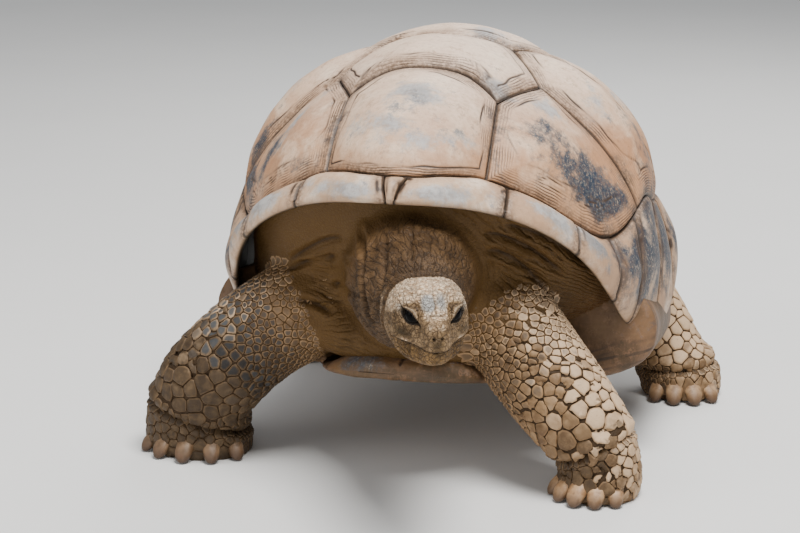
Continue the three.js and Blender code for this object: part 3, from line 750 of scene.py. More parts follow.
def plastron_seam(x, y, height):
    """How far a place is from the nearest seam between the plates of the plastron."""
    bent = y[..., None] + 0.06 * np.abs(x)[..., None] * np.sign(PLASTRON_SEAMS)
    outwards = smoothstep(0.1, 0.32, np.abs(x))
    bent[..., 2] = y + 56 * MM * outwards * smoothstep(48 * MM, -30 * MM, height)
    return np.minimum(np.abs(bent - PLASTRON_SEAMS).min(axis=-1), np.abs(x + 4 * MM * np.sin(y * 25)))


def make_plastron():
    across = np.sin(np.linspace(-np.pi / 2, np.pi / 2, PLASTRON_COLUMNS))
    columns, rows = 2 * PLASTRON_COLUMNS, PLASTRON_ROWS
    kept = {}

    def place(column, row):
        share = np.clip((row - 1) / (rows - 2), 0, 1)
        y = mix(PLASTRON_FRONT + 3 * MM, PLASTRON_REAR - 4 * MM, share)
        half, on_bridge = plastron_half(y)
        under = column < PLASTRON_COLUMNS
        side = across[np.where(under, column, columns - 1 - column)]
        end_lift = FRONT_LIFT * np.maximum(0, (y + 0.2) / (PLASTRON_FRONT + 0.2)) ** 2
        end_lift += REAR_LIFT * np.maximum(0, (y - 0.2) / (PLASTRON_REAR - 0.2)) ** 2
        rounding = PLASTRON_ROUND * (1 - np.sqrt(1 - np.abs(side) ** 8))
        reach = BRIDGE_SEAM - 4 * MM
        bulge = (reach - PLASTRON_BOTTOM) * rounded_by(side, 0.7)
        shoulder = BRIDGE_TOP - (BRIDGE_TOP - reach - 8 * MM) * rounded_by(side, 0.8)
        bottom = PLASTRON_BOTTOM + end_lift + mix(rounding, bulge, on_bridge)
        lip = PLASTRON_LIP * smoothstep(-0.26, -0.34, y) * np.sqrt(np.clip((y - PLASTRON_FRONT) / 0.05, 0, 1))
        lip = lip * (1 - np.abs(side) ** 4)
        top = mix(PLASTRON_BOTTOM + end_lift + PLASTRON_THICK + lip - rounding, shoulder, on_bridge)
        x = side * half
        height = np.where(under, bottom, top)
        seams = plastron_seam(x, y, height)
        plain = np.stack([x, y, height], axis=-1)
        rough = 1.0 * MM * waves(plain, 0.09, 31)
        wear = growth(plain, seams, 22 * MM, 35) * 0.6
        inwards = 2.4 * MM * hill(seams, 2.6 * MM) + wear * MM + rough
        height = height + np.where(under, 1, -1) * inwards * (1 - on_bridge * np.abs(side) ** 6)
        x = x - np.sign(x) * inwards * on_bridge * np.abs(side) ** 6
        found = np.stack([x, y, height], axis=-1)
        ends = (row == 0) | (row == rows)
        tip_y = np.where(row == 0, PLASTRON_FRONT, PLASTRON_REAR)
        tip_height = PLASTRON_BOTTOM + end_lift + PLASTRON_THICK / 2
        tip = np.stack([np.zeros(len(row)), tip_y, tip_height], axis=-1)
        kept.update(groove=wear, away=seams / SEAM_REACH, inside=np.zeros(len(row)))
        kept["blue"] = np.where(under, 0, 0.08) * (1 - on_bridge) * smoothstep(-0.2, -0.3, y)
        on_lip = np.where(under, 0.05, mix(0.12, 0.5, hill(x + 0.075, 0.06))) * (1 - on_bridge)
        on_lip = on_lip * smoothstep(-0.2, -0.3, y)
        kept["slate"] = np.maximum(0.22 * on_bridge * hill(np.abs(x) - 0.38, 0.05), on_lip)
        return in_frame(np.where(ends[:, None], tip, found))

    piece = moulded("underplate", columns, rows, place)[0]
    set_values(piece, kept)
    return piece


# ---------------------------------------------------------------- skin

SKIN_VOXEL = 7 * MM
HIDDEN_KEPT = 0.45  # share of the skin's faces left once its hidden parts are thinned
FINISHED_KEPT = 0.68  # the same for the finished skin, away from the face
HEAD_REACH = 125  # how far from the middle of the head its forms go, in mm
EYE_AT = np.array([26, 33, 15.0])  # aside, ahead and up in the head's frame, in mm
EYE_RADIUS = 16.0
EYE_FACING = unit(np.array([0.76, 0.64, -0.02]))
SLIT_ALONG = unit(np.array([-0.54, 0.70, -0.47]))  # from its rear corner to its front one
SLIT_HALF = 15.2
SLIT_OPEN = 7.4
MOUTH_CORNER = 4.0  # ahead, in mm
# Forms of the head's left side: the middle, aside, ahead and up, the reach each way, and the height, in mm.
HEAD_FORMS = {
    "brow": ((38, 36, 32), (12, 15, 7), 3.4),
    "socket": ((36, 41, 12), (13, 15, 15), -3.0),
    "jaw's muscle": ((54, -18, -18), (22, 26, 24), 5.0),
    "temple": ((50, -4, 20), (12, 16, 10), -2.5),
    "nose": ((0, 68, 11), (16, 9, 9), 4.4),
    "beside nose": ((26, 60, 2), (7, 9, 10), -2.6),
    "frontal shields": ((11, 45, 35), (8, 15, 9), 1.6),
    "beak": ((0, 80, -15), (9, 9, 10), 2.2),
    "beside beak": ((24, 68, -16), (8, 9, 9), -1.6),
    "upper jaw": ((46, 26, -18), (12, 16, 6), 2.0),
    "chin": ((0, 74, -46), (16, 9, 8), 1.6),
    "lower jaw": ((34, 40, -46), (16, 22, 14), 4.0),
    "ear": ((57, -44, -4), (8, 11, 12), -2.2),
    "crown": ((0, 0, 52), (40, 16, 12), 1.4),
}
# Grooves between the shields of the head, on its left side: the line, half the width and the depth, in mm.
HEAD_GROOVES = (
    (((0, 24, 48), (0, 44, 36), (0, 60, 23)), 0.9, 1.2),
    (((0, 24, 48), (12, 23, 48), (21, 30, 43)), 0.9, 1.1),
    (((21, 30, 43), (19, 45, 33), (14, 60, 21)), 0.9, 1.3),
    (((0, 60, 23), (14, 60, 21), (18, 71, 8), (13, 79, -3)), 1.1, 1.6),
    (((21, 30, 43), (34, 16, 44), (46, 2, 37)), 0.9, 0.9),
    (((0, 24, 48), (2, 6, 51), (-1, -14, 50)), 0.8, 0.7),
    (((18, 71, 8), (30, 60, -6), (44, 36, -8), (54, 14, -12)), 1.3, 1.6),
    (((13, 79, -3), (16, 76, -14), (15, 76, -26)), 1.0, 1.0),
    (((31, 61, -26), (27, 66, -38), (16, 70, -50)), 1.0, 0.9),
)


def join(pieces, name):
    deselect_all()
    for piece in pieces:
        piece.select_set(True)
    bpy.context.view_layer.objects.active = pieces[0]
    if len(pieces) > 1:
        bpy.ops.object.join()
    pieces[0].name = pieces[0].data.name = name
    return pieces[0]


class Surface:
    """The skin's points and which of them are neighbours, for smoothing in code."""

    def __init__(self, piece):
        self.piece = piece
        self.points = places(piece)
        edges = np.empty(2 * len(piece.data.edges), np.int64)
        piece.data.edges.foreach_get("vertices", edges)
        self.edges = edges.reshape(-1, 2)
        self.count = np.bincount(edges, minlength=len(self.points))[:, None]

    def average(self, values):
        total = np.zeros_like(values)
        for axis in range(values.shape[1]):
            for here, there in ((0, 1), (1, 0)):
                total[:, axis] += np.bincount(
                    self.edges[:, here], values[self.edges[:, there], axis], minlength=len(values)
                )
        return total / np.maximum(self.count, 1)

    def relax(self, weight, passes):
        weight = np.broadcast_to(np.asarray(weight, float), (len(self.points),))[:, None]
        for _ in range(passes):
            self.points += 0.5 * weight * (self.average(self.points) - self.points)
        set_places(self.piece, self.points)

    def push(self, distance):
        self.points = self.points + normals(self.piece) * distance[:, None]
        set_places(self.piece, self.points)


def refine(piece, wanted):
    """Cuts every face that wanted() picks by its middle into four."""
    mesh = bmesh.new()
    mesh.from_mesh(piece.data)
    middles = np.array([face.calc_center_median() for face in mesh.faces])
    chosen = wanted(middles)
    edges = {edge for face, pick_it in zip(mesh.faces, chosen) if pick_it for edge in face.edges}
    bmesh.ops.subdivide_edges(mesh, edges=list(edges), cuts=1, use_grid_fill=True)
    mesh.to_mesh(piece.data)
    mesh.free()


def make_flesh():
    """One closed skin over the trunk, the head, the neck, the tail and the legs."""
    parts = [make_trunk(), make_head_block(), NECK.shape("neck", 48, 40), TAIL.shape("tail", 32, 24)]
    parts += [NECK_ROOT.shape("neck_root", 48, 24), CHEST.shape("chest", 40, 24)]
    for name, leg in LEG_SHAPES.items():
        parts.append(leg.shape(name, 56, 60, swell=-1.5 * MM))
        parts.extend(toe_lobes(name))
    skin = join(parts, "skin")
    apply_modifier(skin, "REMESH", mode="VOXEL", voxel_size=SKIN_VOXEL, use_smooth_shade=True)
    return skin


def claw_places(name):
    """Where each claw leaves its foot: a point at the sole's edge, the way it points, and its size."""
    leg = LEGS[name]
    x, y, _, a, b = leg["stations"][-1]
    heading = math.radians(leg["toes"])
    found = []
    for i in range(leg["nails"]):
        place = i - (leg["nails"] - 1) / 2
        turn = math.radians(place * leg["spread"])
        aside, ahead = a * math.sin(turn), b * math.cos(turn)
        edge = np.array([
            x + aside * math.cos(heading) + ahead * math.sin(heading),
            y + aside * math.sin(heading) - ahead * math.cos(heading),
            0.0,
        ]) * MM + MIDDLE
        found.append((edge, heading + turn * 0.6, 1 - 0.08 * abs(place)))
    return found


TOE_SIZE = np.array([19, 24, 25])  # half the breadth, length and height of a toe, in mm
TOE_BACK, TOE_UP = 18, 27  # its middle, behind where the claw leaves the foot, in mm


def toe_lobes(name):
    """A round toe behind each claw of a leg."""
    lobes = []
    for edge, direction, size in claw_places(name):
        out, across = ground_axes(direction)
        centre = edge - out * TOE_BACK * MM * size + np.array([0, 0, TOE_UP * MM * size])
        deselect_all()
        bpy.ops.mesh.primitive_uv_sphere_add(segments=16, ring_count=12, radius=1)
        lobe = bpy.context.object
        ball = places(lobe) * TOE_SIZE * MM * size
        points = centre + ball[:, :1] * across + ball[:, 1:2] * out + ball[:, 2:] * np.array([0, 0, 1])
        points[:, 2] = np.maximum(points[:, 2], 1 * MM)
        set_places(lobe, points)
        lobes.append(lobe)
    return lobes


def to_shell(points):
    """From the part's frame to the shell's own: the angle, the radius and the height."""
    x, y, z = np.moveaxis(points - MIDDLE, -1, 0)
    z = z - SHELL_HEIGHT
    back = y * math.cos(NOSE_UP) - z * math.sin(NOSE_UP)
    height = z * math.cos(NOSE_UP) + y * math.sin(NOSE_UP)
    return np.arctan2(x, -back), np.hypot(x, back), height


def hidden(points):
    """Where the skin lies under the plates or over the plastron."""
    angle, radius, height = to_shell(points)
    above = height > around(SEAM_HEIGHT, angle) + 12 * MM
    below = (height < 8 * MM) & (radius < 0.75 * around(BELLY_EDGE[0], angle))
    return above | below


def thin_out(skin, chosen, ratio):
    """Merges faces among the chosen points. The ratio is the share of all faces to keep."""
    group = skin.vertex_groups.new(name="chosen")
    group.add(np.nonzero(chosen)[0].tolist(), 1, "REPLACE")
    apply_modifier(skin, "DECIMATE", ratio=ratio, vertex_group="chosen")
    skin.vertex_groups.clear()


def around_head(points):
    """Each place in the head's own frame, and whether it is on the head."""
    head = frame_to_head(points)
    reach = np.linalg.norm(head / [1, 1.15, 1], axis=-1)
    return head, (head[:, 1] > -78) & (reach < 105)


def near_face(points):
    """Round the eyes, the nostrils and the mouth, where the skin is finest."""
    head, on_head = around_head(points)
    mirrored = np.abs(head[:, 0])
    eye = np.linalg.norm(np.stack([mirrored, head[:, 1], head[:, 2]], -1) - EYE_AT, axis=-1) < 30
    nose = (head[:, 1] > 62) & on_head
    mouth = (np.abs(head[:, 2] - mouth_line(head[:, 1])) < 8) & (head[:, 1] > 0) & on_head
    return eye | nose | mouth


def mouth_line(ahead):
    """The height of the mouth's line, in mm: up at its corner, and dipping under the beak."""
    share = np.clip((ahead - MOUTH_CORNER) / 76, 0, 1)
    return -25.5 + 2.5 * (1 - share) ** 4 - 1.6 * np.sin(share * np.pi) - 1.6 * smoothstep(0.84, 1, share)


def eye_coordinates(head):
    """Each point seen from the eye on its own side: along the slit, across it and outwards."""
    side = np.where(head[:, 0] < 0, -1.0, 1.0)
    local = np.stack([np.abs(head[:, 0]), head[:, 1], head[:, 2]], axis=-1) - EYE_AT
    along = unit(SLIT_ALONG - EYE_FACING * (SLIT_ALONG @ EYE_FACING))
    across = np.cross(EYE_FACING, along)
    return side, local, local @ along, local @ across, local @ EYE_FACING


def shape_head(surface, block):
    """Moulds the skin of the head: brows, lids, nose, beak, mouth and cheeks."""
    head, _ = around_head(surface.points)
    weight = smoothstep(-84, -50, head[:, 1]) * (np.linalg.norm(head, axis=-1) < HEAD_REACH)
    tree = BVHTree.FromPolygons(places(block).tolist(), [tuple(f.vertices) for f in block.data.polygons])
    for i in np.nonzero(weight > 0)[0]:
        nearest = tree.find_nearest(Vector(surface.points[i]))[0]
        surface.points[i] = mix(surface.points[i], np.array(nearest), weight[i])
    surface.relax(weight * 0.8, 4)

    head = frame_to_head(surface.points)
    aside, ahead, up = np.abs(head[:, 0]), head[:, 1], head[:, 2]
    mirrored = np.stack([aside, ahead, up], axis=-1)
    lift = np.zeros(len(head))
    for centre, size, height in HEAD_FORMS.values():
        lift += height * np.exp(-(((mirrored - centre) / size) ** 2).sum(axis=-1))
    # and the folds behind the jaw
    folded = 7 * hill(ahead + 42, 7) + 9 * hill(ahead + 58, 8)
    lift += folded * smoothstep(30, 5, up) * smoothstep(30, 46, aside)
    surface.push(lift * weight * MM)


def shape_face(surface):
    """Cuts the eyes' openings, the mouth and the nostrils."""
    head = frame_to_head(surface.points)
    near = np.linalg.norm(head, axis=-1) < HEAD_REACH
    side, local, along, across, out = eye_coordinates(head)
    reach = np.linalg.norm(local, axis=-1)
    direction = local / np.maximum(reach, 1e-6)[:, None]
    arc = EYE_RADIUS / np.maximum(reach, 1e-6)
    slit_along, slit_across = along * arc, across * arc
    span = np.clip(1 - (slit_along / SLIT_HALF) ** 2, 0.02, 1)
    opening = np.abs(slit_across) / (SLIT_OPEN * span) + 4 * np.maximum(0, np.abs(slit_along) / SLIT_HALF - 1)
    facing = near & (out > 0) & (reach < 32)
    sideways = np.hypot(along, across)
    upper = smoothstep(-1, 1, slit_across)
    ends = smoothstep(1.1, 0.7, np.abs(slit_along) / SLIT_HALF)
    lid = EYE_RADIUS + 1.5 + mix(0.8, 1.5, upper) * ends * hill(opening - 1.25, 0.3)
    lid -= 0.9 * hill(opening - 2.1, 0.25)
    lid += 4.5 * smoothstep(0.3, 1.0, -slit_along / SLIT_HALF)
    wanted = mix(lid, EYE_RADIUS - 3.0, smoothstep(1.07, 0.9, opening))
    share = np.where(facing, np.maximum(smoothstep(27, 15, sideways), smoothstep(1.5, 1.15, opening)), 0)
    moved = EYE_AT + direction * wanted[:, None]
    moved[:, 0] *= side
    head = mix(head, moved, share[:, None])

    line = mouth_line(head[:, 1])
    below = line - head[:, 2]
    at_mouth = smoothstep(MOUTH_CORNER - 6, MOUTH_CORNER + 6, head[:, 1]) * near
    groove = 3.4 * hill(below, 1.3) + 2.2 * smoothstep(0, 2.5, below) * smoothstep(26, 10, below)
    lip = 1.0 * hill(below + 4.5, 2.2)
    inwards = unit(np.array([0.0, 22.0, -26.0]) - head)
    head = head + inwards * ((groove - lip) * at_mouth)[:, None]
    nostril = np.stack([np.abs(head[:, 0]) - 6.2, head[:, 1] - 79, head[:, 2] + 6.5], axis=-1)
    hole = np.exp(-((nostril / [2.4, 7, 2.1]) ** 2).sum(axis=-1)) * near
    head[:, 1] -= 5.0 * hole
    surface.points = np.where(near[:, None], head_to_frame(head), surface.points)
    set_places(surface.piece, surface.points)
    lids = np.where(facing, smoothstep(1.42, 1.18, opening), 0)
    folds = hill(opening - 1.45, 0.09) + hill(opening - 2.0, 0.16) + 0.7 * hill(opening - 2.8, 0.25)
    folds = np.where(facing, folds, 0) * smoothstep(24, 16, sideways)
    corners = np.where(facing, hill(slit_across, 1.5) * hill(np.abs(slit_along) - SLIT_HALF - 3, 3.5), 0)
    return {
        "lid": lids,
        "mouth": hill(below, 1.7) * at_mouth,
        "nostril": hole,
        "jaw": smoothstep(-1, 2, below) * at_mouth,
        "crease": np.clip(folds * 0.95 + corners, 0, 1),
        "rim": np.where(facing, hill(opening - 1.55, 0.12) * upper * ends, 0),
    }


def cells(points, seed):
    """Uneven cells about 1 across: how far each point is from the edge of its own, from 0 to about 0.5."""
    home = np.floor(points).astype(np.int64)
    nearest = np.full(len(points), 9.0)
    second = nearest.copy()
    for step in np.ndindex(3, 3, 3):
        cell = home + np.array(step) - 1
        mixed = (cell * np.array([73856093, 19349663, 83492791]) + seed * 2654435).sum(axis=1) & 0x7FFFFFFF
        jitter = []
        for prime in (1103515245, 22695477, 134775813):
            mixed = (mixed * prime + 12345) & 0x7FFFFFFF
            jitter.append(0.15 + 0.7 * ((mixed >> 8) & 0xFFFF) / 65535)
        gap = np.linalg.norm(cell + np.stack(jitter, axis=-1) - points, axis=1)
        second = np.minimum(second, np.maximum(nearest, gap))
        nearest = np.minimum(nearest, gap)
    return (second - nearest) / 2


def line_distance(points, line):
    """How far each point is from a line of points, and the share of the line where it is nearest."""
    start, step = line[:-1], np.diff(line, axis=0)
    away = points[:, None] - start[None]
    share = np.clip((away * step).sum(-1) / (step ** 2).sum(-1), 0, 1)
    gap = np.linalg.norm(away - share[..., None] * step, axis=-1)
    i = gap.argmin(axis=1)
    n = np.arange(len(points))
    return gap[n, i], (i + share[n, i]) / len(step)


def smooth_line(points, count=20):
    return smooth_path(np.array(points, float), np.linspace(0, 1, count))


def add_value(piece, name, values):
    """Keeps the greater of what the mesh already says and these values."""
    known = piece.data.attributes.get(name)
    if known:
        old = np.empty(len(values), np.float32)
        known.data.foreach_get("value", old)
        values = np.maximum(old, values)
    set_value(piece, name, values)


def groove_head(surface):
    """Cuts the lines between the head's shields, the small scales of its sides and its wrinkles."""
    head = frame_to_head(surface.points)
    near = smoothstep(HEAD_REACH, HEAD_REACH - 15, np.linalg.norm(head, axis=-1))
    aside, ahead, up = np.abs(head[:, 0]), head[:, 1], head[:, 2]
    mirrored = np.stack([aside, ahead, up], axis=-1)

    def blot(centre, size, width):
        return hill(np.linalg.norm((mirrored - centre) / size, axis=-1), width)

    some = np.nonzero(near > 0)[0]
    cut = np.zeros(len(head))
    for line, width, depth in HEAD_GROOVES:
        gap, _ = line_distance(mirrored[some], smooth_line(line))
        cut[some] = np.maximum(cut[some], depth * hill(gap, width + 0.5))
    _, _, along, across, out = eye_coordinates(head)
    from_eye = np.hypot(along, across)
    scaly = smoothstep(21, 26, np.hypot(aside, (ahead - 45) * 0.45))
    scaly = scaly * smoothstep(16, 22, from_eye + 20 * (out < 0))
    scaly = scaly * (1 - smoothstep(60, 66, ahead)) * (1 - hill(up + 18, 9) * smoothstep(0, 20, ahead))
    small = cells(head / mix(6.0, 8.5, smoothstep(10, -40, ahead))[:, None], 3)
    cut = np.maximum(cut, 0.9 * smoothstep(0.16, 0.02, small) * scaly)
    bend = ahead + 3 * waves(head, 34, 41) + 0.12 * aside
    rings = zigzag(bend / 7.5)
    lines = smoothstep(0.4, 0.0, zigzag(bend / 5.2))
    lines = lines * np.clip(0.5 + waves(head, 20, 44), 0, 1)
    cut = np.maximum(cut, 1.0 * lines * smoothstep(24, 10, ahead) * smoothstep(26, 40, up))
    cut = np.maximum(cut, 1.6 * smoothstep(0.3, 0.0, rings) * smoothstep(-14, -30, ahead))
    collar = hill(ahead + 34 + 0.2 * aside + 2 * waves(head, 30, 43), 4.5)
    surface.push(-(cut + 4.5 * collar * smoothstep(-30, 10, up)) * near * MM)
    tall = 0.92 * up - 0.39 * ahead
    crown = np.maximum(smoothstep(-6, 22, tall), smoothstep(23, 14, aside) * smoothstep(-14, 0, tall))
    crown = crown * smoothstep(-38, -26, ahead)
    beside_eye = smoothstep(24, 15, from_eye) * (out > 0)
    pale = crown * (0.95 - 0.95 * beside_eye)
    pale = pale + 0.65 * blot([5, 69, 9], [17, 12, 9], 0.9)
    pale = np.maximum(pale, 0.45 * hill(ahead + 50, 17) * smoothstep(34, 10, up) * smoothstep(-62, -30, up))
    streak = 0.75 * blot([43, 38, -22], [10, 21, 4.2], 0.9)
    blue = mix(0.6, 0.9, head[:, 0] < 0) * blot([10, 43, 36], [12, 20, 14], 1.0)
    blue = np.maximum(blue, 0.4 * blot([50, 22, 22], [9, 12, 14], 1.0))
    sheath = blot([46, 30, -12.5], [14, 21, 6], 0.95)
    beak = blot([0, 80, -13], [13, 13, 11], 0.95)
    tip = blot([0, 79, -31], [9, 9, 6], 0.95)
    above = up - mouth_line(ahead)
    edge = hill(above - 1.5, 2.2) * smoothstep(56, 70, ahead)
    jaw = smoothstep(0, -3, above) * smoothstep(-10, 20, ahead)
    add_value(surface.piece, "crease", np.clip(cut / 1.2, 0, 1) * near * 0.8)
    set_values(surface.piece, {
        "pale": np.clip(np.maximum(pale, streak), 0, 1) * near,
        "blue": blue * near,
        "horn": np.maximum(np.maximum(sheath, beak * 0.9), 0.7 * tip) * near,
        "ochre": np.maximum(edge, 0.75 * jaw) * near,
        "face": smoothstep(-36, -26, ahead) * near,
    })


# Folds of the loose skin: the line in mm from under the crown, half its width and its depth in mm.
FOLDS = (
    (((20, -392, 454), (40, -479, 446), (56, -544, 434), (72, -596, 420)), 3.4, 6.0),
    (((-62, -352, 440), (-56, -368, 434), (-43, -455, 420), (-28, -521, 392), (-14, -556, 358),
      (4, -563, 322)), 4.5, 9.0),
    (((-23, -383, 449), (0, -485, 437), (15, -554, 415), (21, -589, 390)), 3.6, 5.0),
    (((63, -373, 447), (87, -366, 422), (107, -360, 385), (112, -334, 349)), 4.2, 7.0),
    (((98, -366, 452), (117, -347, 419), (130, -325, 378), (134, -314, 342)), 4.2, 7.0),
    (((-223, -286, 334), (-182, -295, 353), (-133, -321, 369), (-64, -445, 396)), 4.0, 8.0),
    (((-172, -304, 328), (-127, -306, 321), (-34, -526, 364)), 4.0, 7.0),
    (((-217, -278, 347), (-177, -309, 377), (-135, -334, 402), (-91, -350, 415)), 4.0, 6.0),
    (((-189, -330, 296), (-156, -324, 290), (-122, -310, 264), (-104, -290, 235)), 4.0, 7.0),
    (((124, -352, 434), (170, -331, 418), (213, -296, 385), (249, -250, 342)), 4.4, 8.0),
    (((119, -341, 408), (160, -321, 389), (196, -290, 356), (226, -249, 307)), 4.4, 8.0),
    (((156, -350, 448), (208, -318, 427), (257, -264, 387), (292, -200, 339)), 4.6, 7.0),
    (((216, -306, 314), (249, -303, 285)), 4.0, 5.0),
)
# Folds of the chest that fan out: x and z of where they start, in the same mm, which way along x they
# run, and how far apart they spread.
HIGH_FAN, LOW_FAN, LEFT_FAN = (-232, 338, 1, 0.115), (-212, 236, 1, 0.10), (420, 205, -1, 0.26)
# The plane of each ankle's crease: its height at an X, and how it slopes with X, in mm.
ANKLES = {
    "foreleg_right": (-350, -0.31, 60),
    "foreleg_left": (300, 0.45, 80),
    "hindleg_right": (-298, 0.1, 60),
    "hindleg_left": (392, 0.1, 58),
}


def ankle_gap(name, points):
    """How far above its ankle's crease each place is, in mm."""
    middle_x, slope, height = ANKLES[name]
    x, _, z = from_middle(points)
    return z - (height + slope * (x - middle_x))


def limb_space(points, length, count=80):
    """Each place as seen from a length of flesh: the share along it, the turn round it, and how far out."""
    centre, _, sideways, depth = length.axes(np.linspace(0, 1, count))
    apart = np.linalg.norm(points[:, None] - centre[None, :, :3], axis=-1)
    nearest = apart.argmin(axis=1)
    away = points - centre[nearest, :3]
    aside = (away * sideways[nearest]).sum(axis=-1) / centre[nearest, 3]
    deep = (away * depth[nearest]).sum(axis=-1) / centre[nearest, 4]
    return nearest / (count - 1), np.arctan2(deep, aside), np.hypot(aside, deep)


def fold_field(points):
    """A place across the folds of the neck and chest and one along them, in m, and how deep they run."""
    x, y, z = from_middle(points)
    share, turn, out = limb_space(points, NECK)
    on_neck = smoothstep(1.45, 1.05, out) * smoothstep(0.2, 0.5, share)
    found = np.stack([turn * 0.092, share * 0.16], axis=-1)
    found[:, 0] += 0.006 * waves(points, 0.07, 51)
    depth = np.zeros(len(points))
    chest = (y < -120) & (out > 1.28)
    uneven = 0.004 * waves(points, 0.09, 52)
    high, low, left = (x < 20) & (z > 292), (x < 20) & (z <= 292), x >= 20
    for fan, where in ((HIGH_FAN, high), (LOW_FAN, low), (LEFT_FAN, left)):
        from_x, from_z, way, spread = fan
        slope = np.arctan2(z - from_z, way * (x - from_x))
        reach = np.hypot(x - from_x, z - from_z)
        strength = np.ones(len(x))
        if fan != LEFT_FAN:
            strength = smoothstep(50, 120, reach) * smoothstep(330, 230, reach)
        if fan == HIGH_FAN:
            strength = strength * smoothstep(0.75, 0.35, slope)
        here = chest & where
        found[here] = np.stack([slope * spread + uneven, reach * MM], axis=-1)[here]
        depth[here] = strength[here]
    return found, depth * smoothstep(1.25, 1.5, out), on_neck


def fold_skin(surface):
    """Presses the folds into the skin of the neck and the chest, and the creases into the ankles."""
    points = surface.points
    covered = hidden(points)
    some = np.nonzero((points[:, 1] < MIDDLE[1] - 100 * MM) & ~covered)[0]
    place = (points[some] - MIDDLE) / MM
    lift = np.zeros(len(points))
    crease = np.zeros(len(points))
    for line, width, depth in FOLDS:
        gap, share = line_distance(place, smooth_line(line, 24))
        taper = smoothstep(0, 0.14, share) * smoothstep(1, 0.84, share)
        lift[some] -= depth * taper * hill(gap, width + 1.5)
        lift[some] += 0.42 * depth * taper * hill(gap - 2.8 * width, 1.5 * width)
        crease[some] = np.maximum(crease[some], taper * hill(gap, 0.75 * width))
    field, depth, on_neck = fold_field(points)
    wobble = waves(points, 0.05, 61)
    ridge = zigzag(field[:, 0] / 0.0145 + 0.35 * wobble)
    patch = np.clip(0.55 + 0.45 * waves(points, 0.09, 62), 0.1, 1)
    lift -= depth * patch * 4.6 * smoothstep(0.45, 1.0, ridge) ** 1.5
    crease = np.maximum(crease, 0.8 * depth * patch * smoothstep(0.8, 1.0, ridge))
    net = cells(np.column_stack([field / [0.017, 0.024], np.zeros(len(points))]) + 0.15 * wobble[:, None], 64)
    lift -= on_neck * 2.6 * smoothstep(0.16, 0.0, net)
    crease = np.maximum(crease, on_neck * 0.5 * smoothstep(0.07, 0.0, net))
    coat = np.zeros(len(points))
    for name in ANKLES:
        share, _, out = limb_space(points, LEG_SHAPES[name])
        coat = np.maximum(coat, smoothstep(1.45, 1.2, out) * smoothstep(0.14, 0.3, share))
        above = ankle_gap(name, points)
        on_leg = smoothstep(1.45, 1.25, out) * smoothstep(0.5, 0.6, share)
        lift -= on_leg * (8.0 * hill(above, 5.0) - 4.5 * hill(above - 14, 9.0) - 2.5 * hill(above + 13, 7.0))
        crease = np.maximum(crease, on_leg * hill(above, 3.5))
    lift[covered] = 0
    surface.push(lift * MM)
    add_value(surface.piece, "crease", np.clip(crease, 0, 1))
    set_values(surface.piece, {
        "across": field[:, 0],
        "along": field[:, 1],
        "fan": np.clip(depth, 0, 1) * (1 - coat),
        "coat": coat,
        "net": np.clip(on_neck, 0, 1),
        # painted shade on the skin at the front, under the shell
        "shade": smoothstep(-0.02, -0.16, points[:, 1]) * ~covered,
    })


def make_skin():
    block = make_head_block()
    skin = make_flesh()
    thin_out(skin, hidden(places(skin)), HIDDEN_KEPT)
    refine(skin, lambda middles: (middles[:, 1] < -150 * MM) & ~hidden(middles))
    refine(skin, lambda middles: around_head(middles)[1])
    surface = Surface(skin)
    surface.relax(0.7, 10)  # takes away the voxels' steps
    share, _, out = limb_space(surface.points, NECK)  # then softens the hollow round the neck's root
    surface.relax(smoothstep(0.7, 0.4, share) * smoothstep(0.75, 1.0, out) * smoothstep(2.0, 1.3, out), 150)
    fold_skin(surface)
    shape_head(surface, block)
    refine(skin, near_face)
    surface = Surface(skin)
    surface.relax(near_face(surface.points) * 0.5, 3)
    for name, values in shape_face(surface).items():
        add_value(skin, name, values)
    groove_head(surface)
    surface.points[:, 2] = np.maximum(surface.points[:, 2], 0)
    set_places(skin, surface.points)
    bpy.data.objects.remove(block)
    face_out(skin)
    shade_smooth(skin)
    return skin


# ---------------------------------------------------------------- eyes and claws

EYE_COLUMNS, EYE_ROWS = 40, 30


def make_eye(side):
    """A glossy ball with its pole where the animal looks. "round" is the angle from the pole, as a share."""
    facing = EYE_FACING * [side, 1, 1]
    pole = unit(head_to_frame(facing * 100.0) - head_to_frame(np.zeros(3)))
    across = unit(np.cross(pole, [0, 0, 1.0]))
    up = np.cross(across, pole)
    centre = head_to_frame(EYE_AT * [side, 1, 1])

    def place(column, row):
        turn, tilt = column / EYE_COLUMNS * 2 * np.pi, row / EYE_ROWS * np.pi
        cornea = 1 + 0.05 * np.exp(-((tilt / 0.5) ** 4))
        flat = (np.sin(tilt) * np.cos(turn))[:, None] * across + (np.sin(tilt) * np.sin(turn))[:, None] * up
        return centre + (flat + np.cos(tilt)[:, None] * pole) * cornea[:, None] * EYE_RADIUS * MM

    piece, _, row = moulded("eye", EYE_COLUMNS, EYE_ROWS, place)
    set_value(piece, "round", row / EYE_ROWS)
    return piece


NAIL_SUNK, NAIL_REACH = 30 * MM, 25 * MM
NAIL_HALF, NAIL_THICK = 17 * MM, 30 * MM
NAIL_ROOT, NAIL_TIP = 38 * MM, 8 * MM  # how high the middle of each end is
NAIL_COLUMNS, NAIL_ROWS = 28, 26
# How much painted shade darkens each leg's claws: most on the right foreleg, none on the left.
NAIL_SHADE = {"foreleg_right": 1.0, "foreleg_left": 0.0, "hindleg_right": 0.4, "hindleg_left": 0.4}


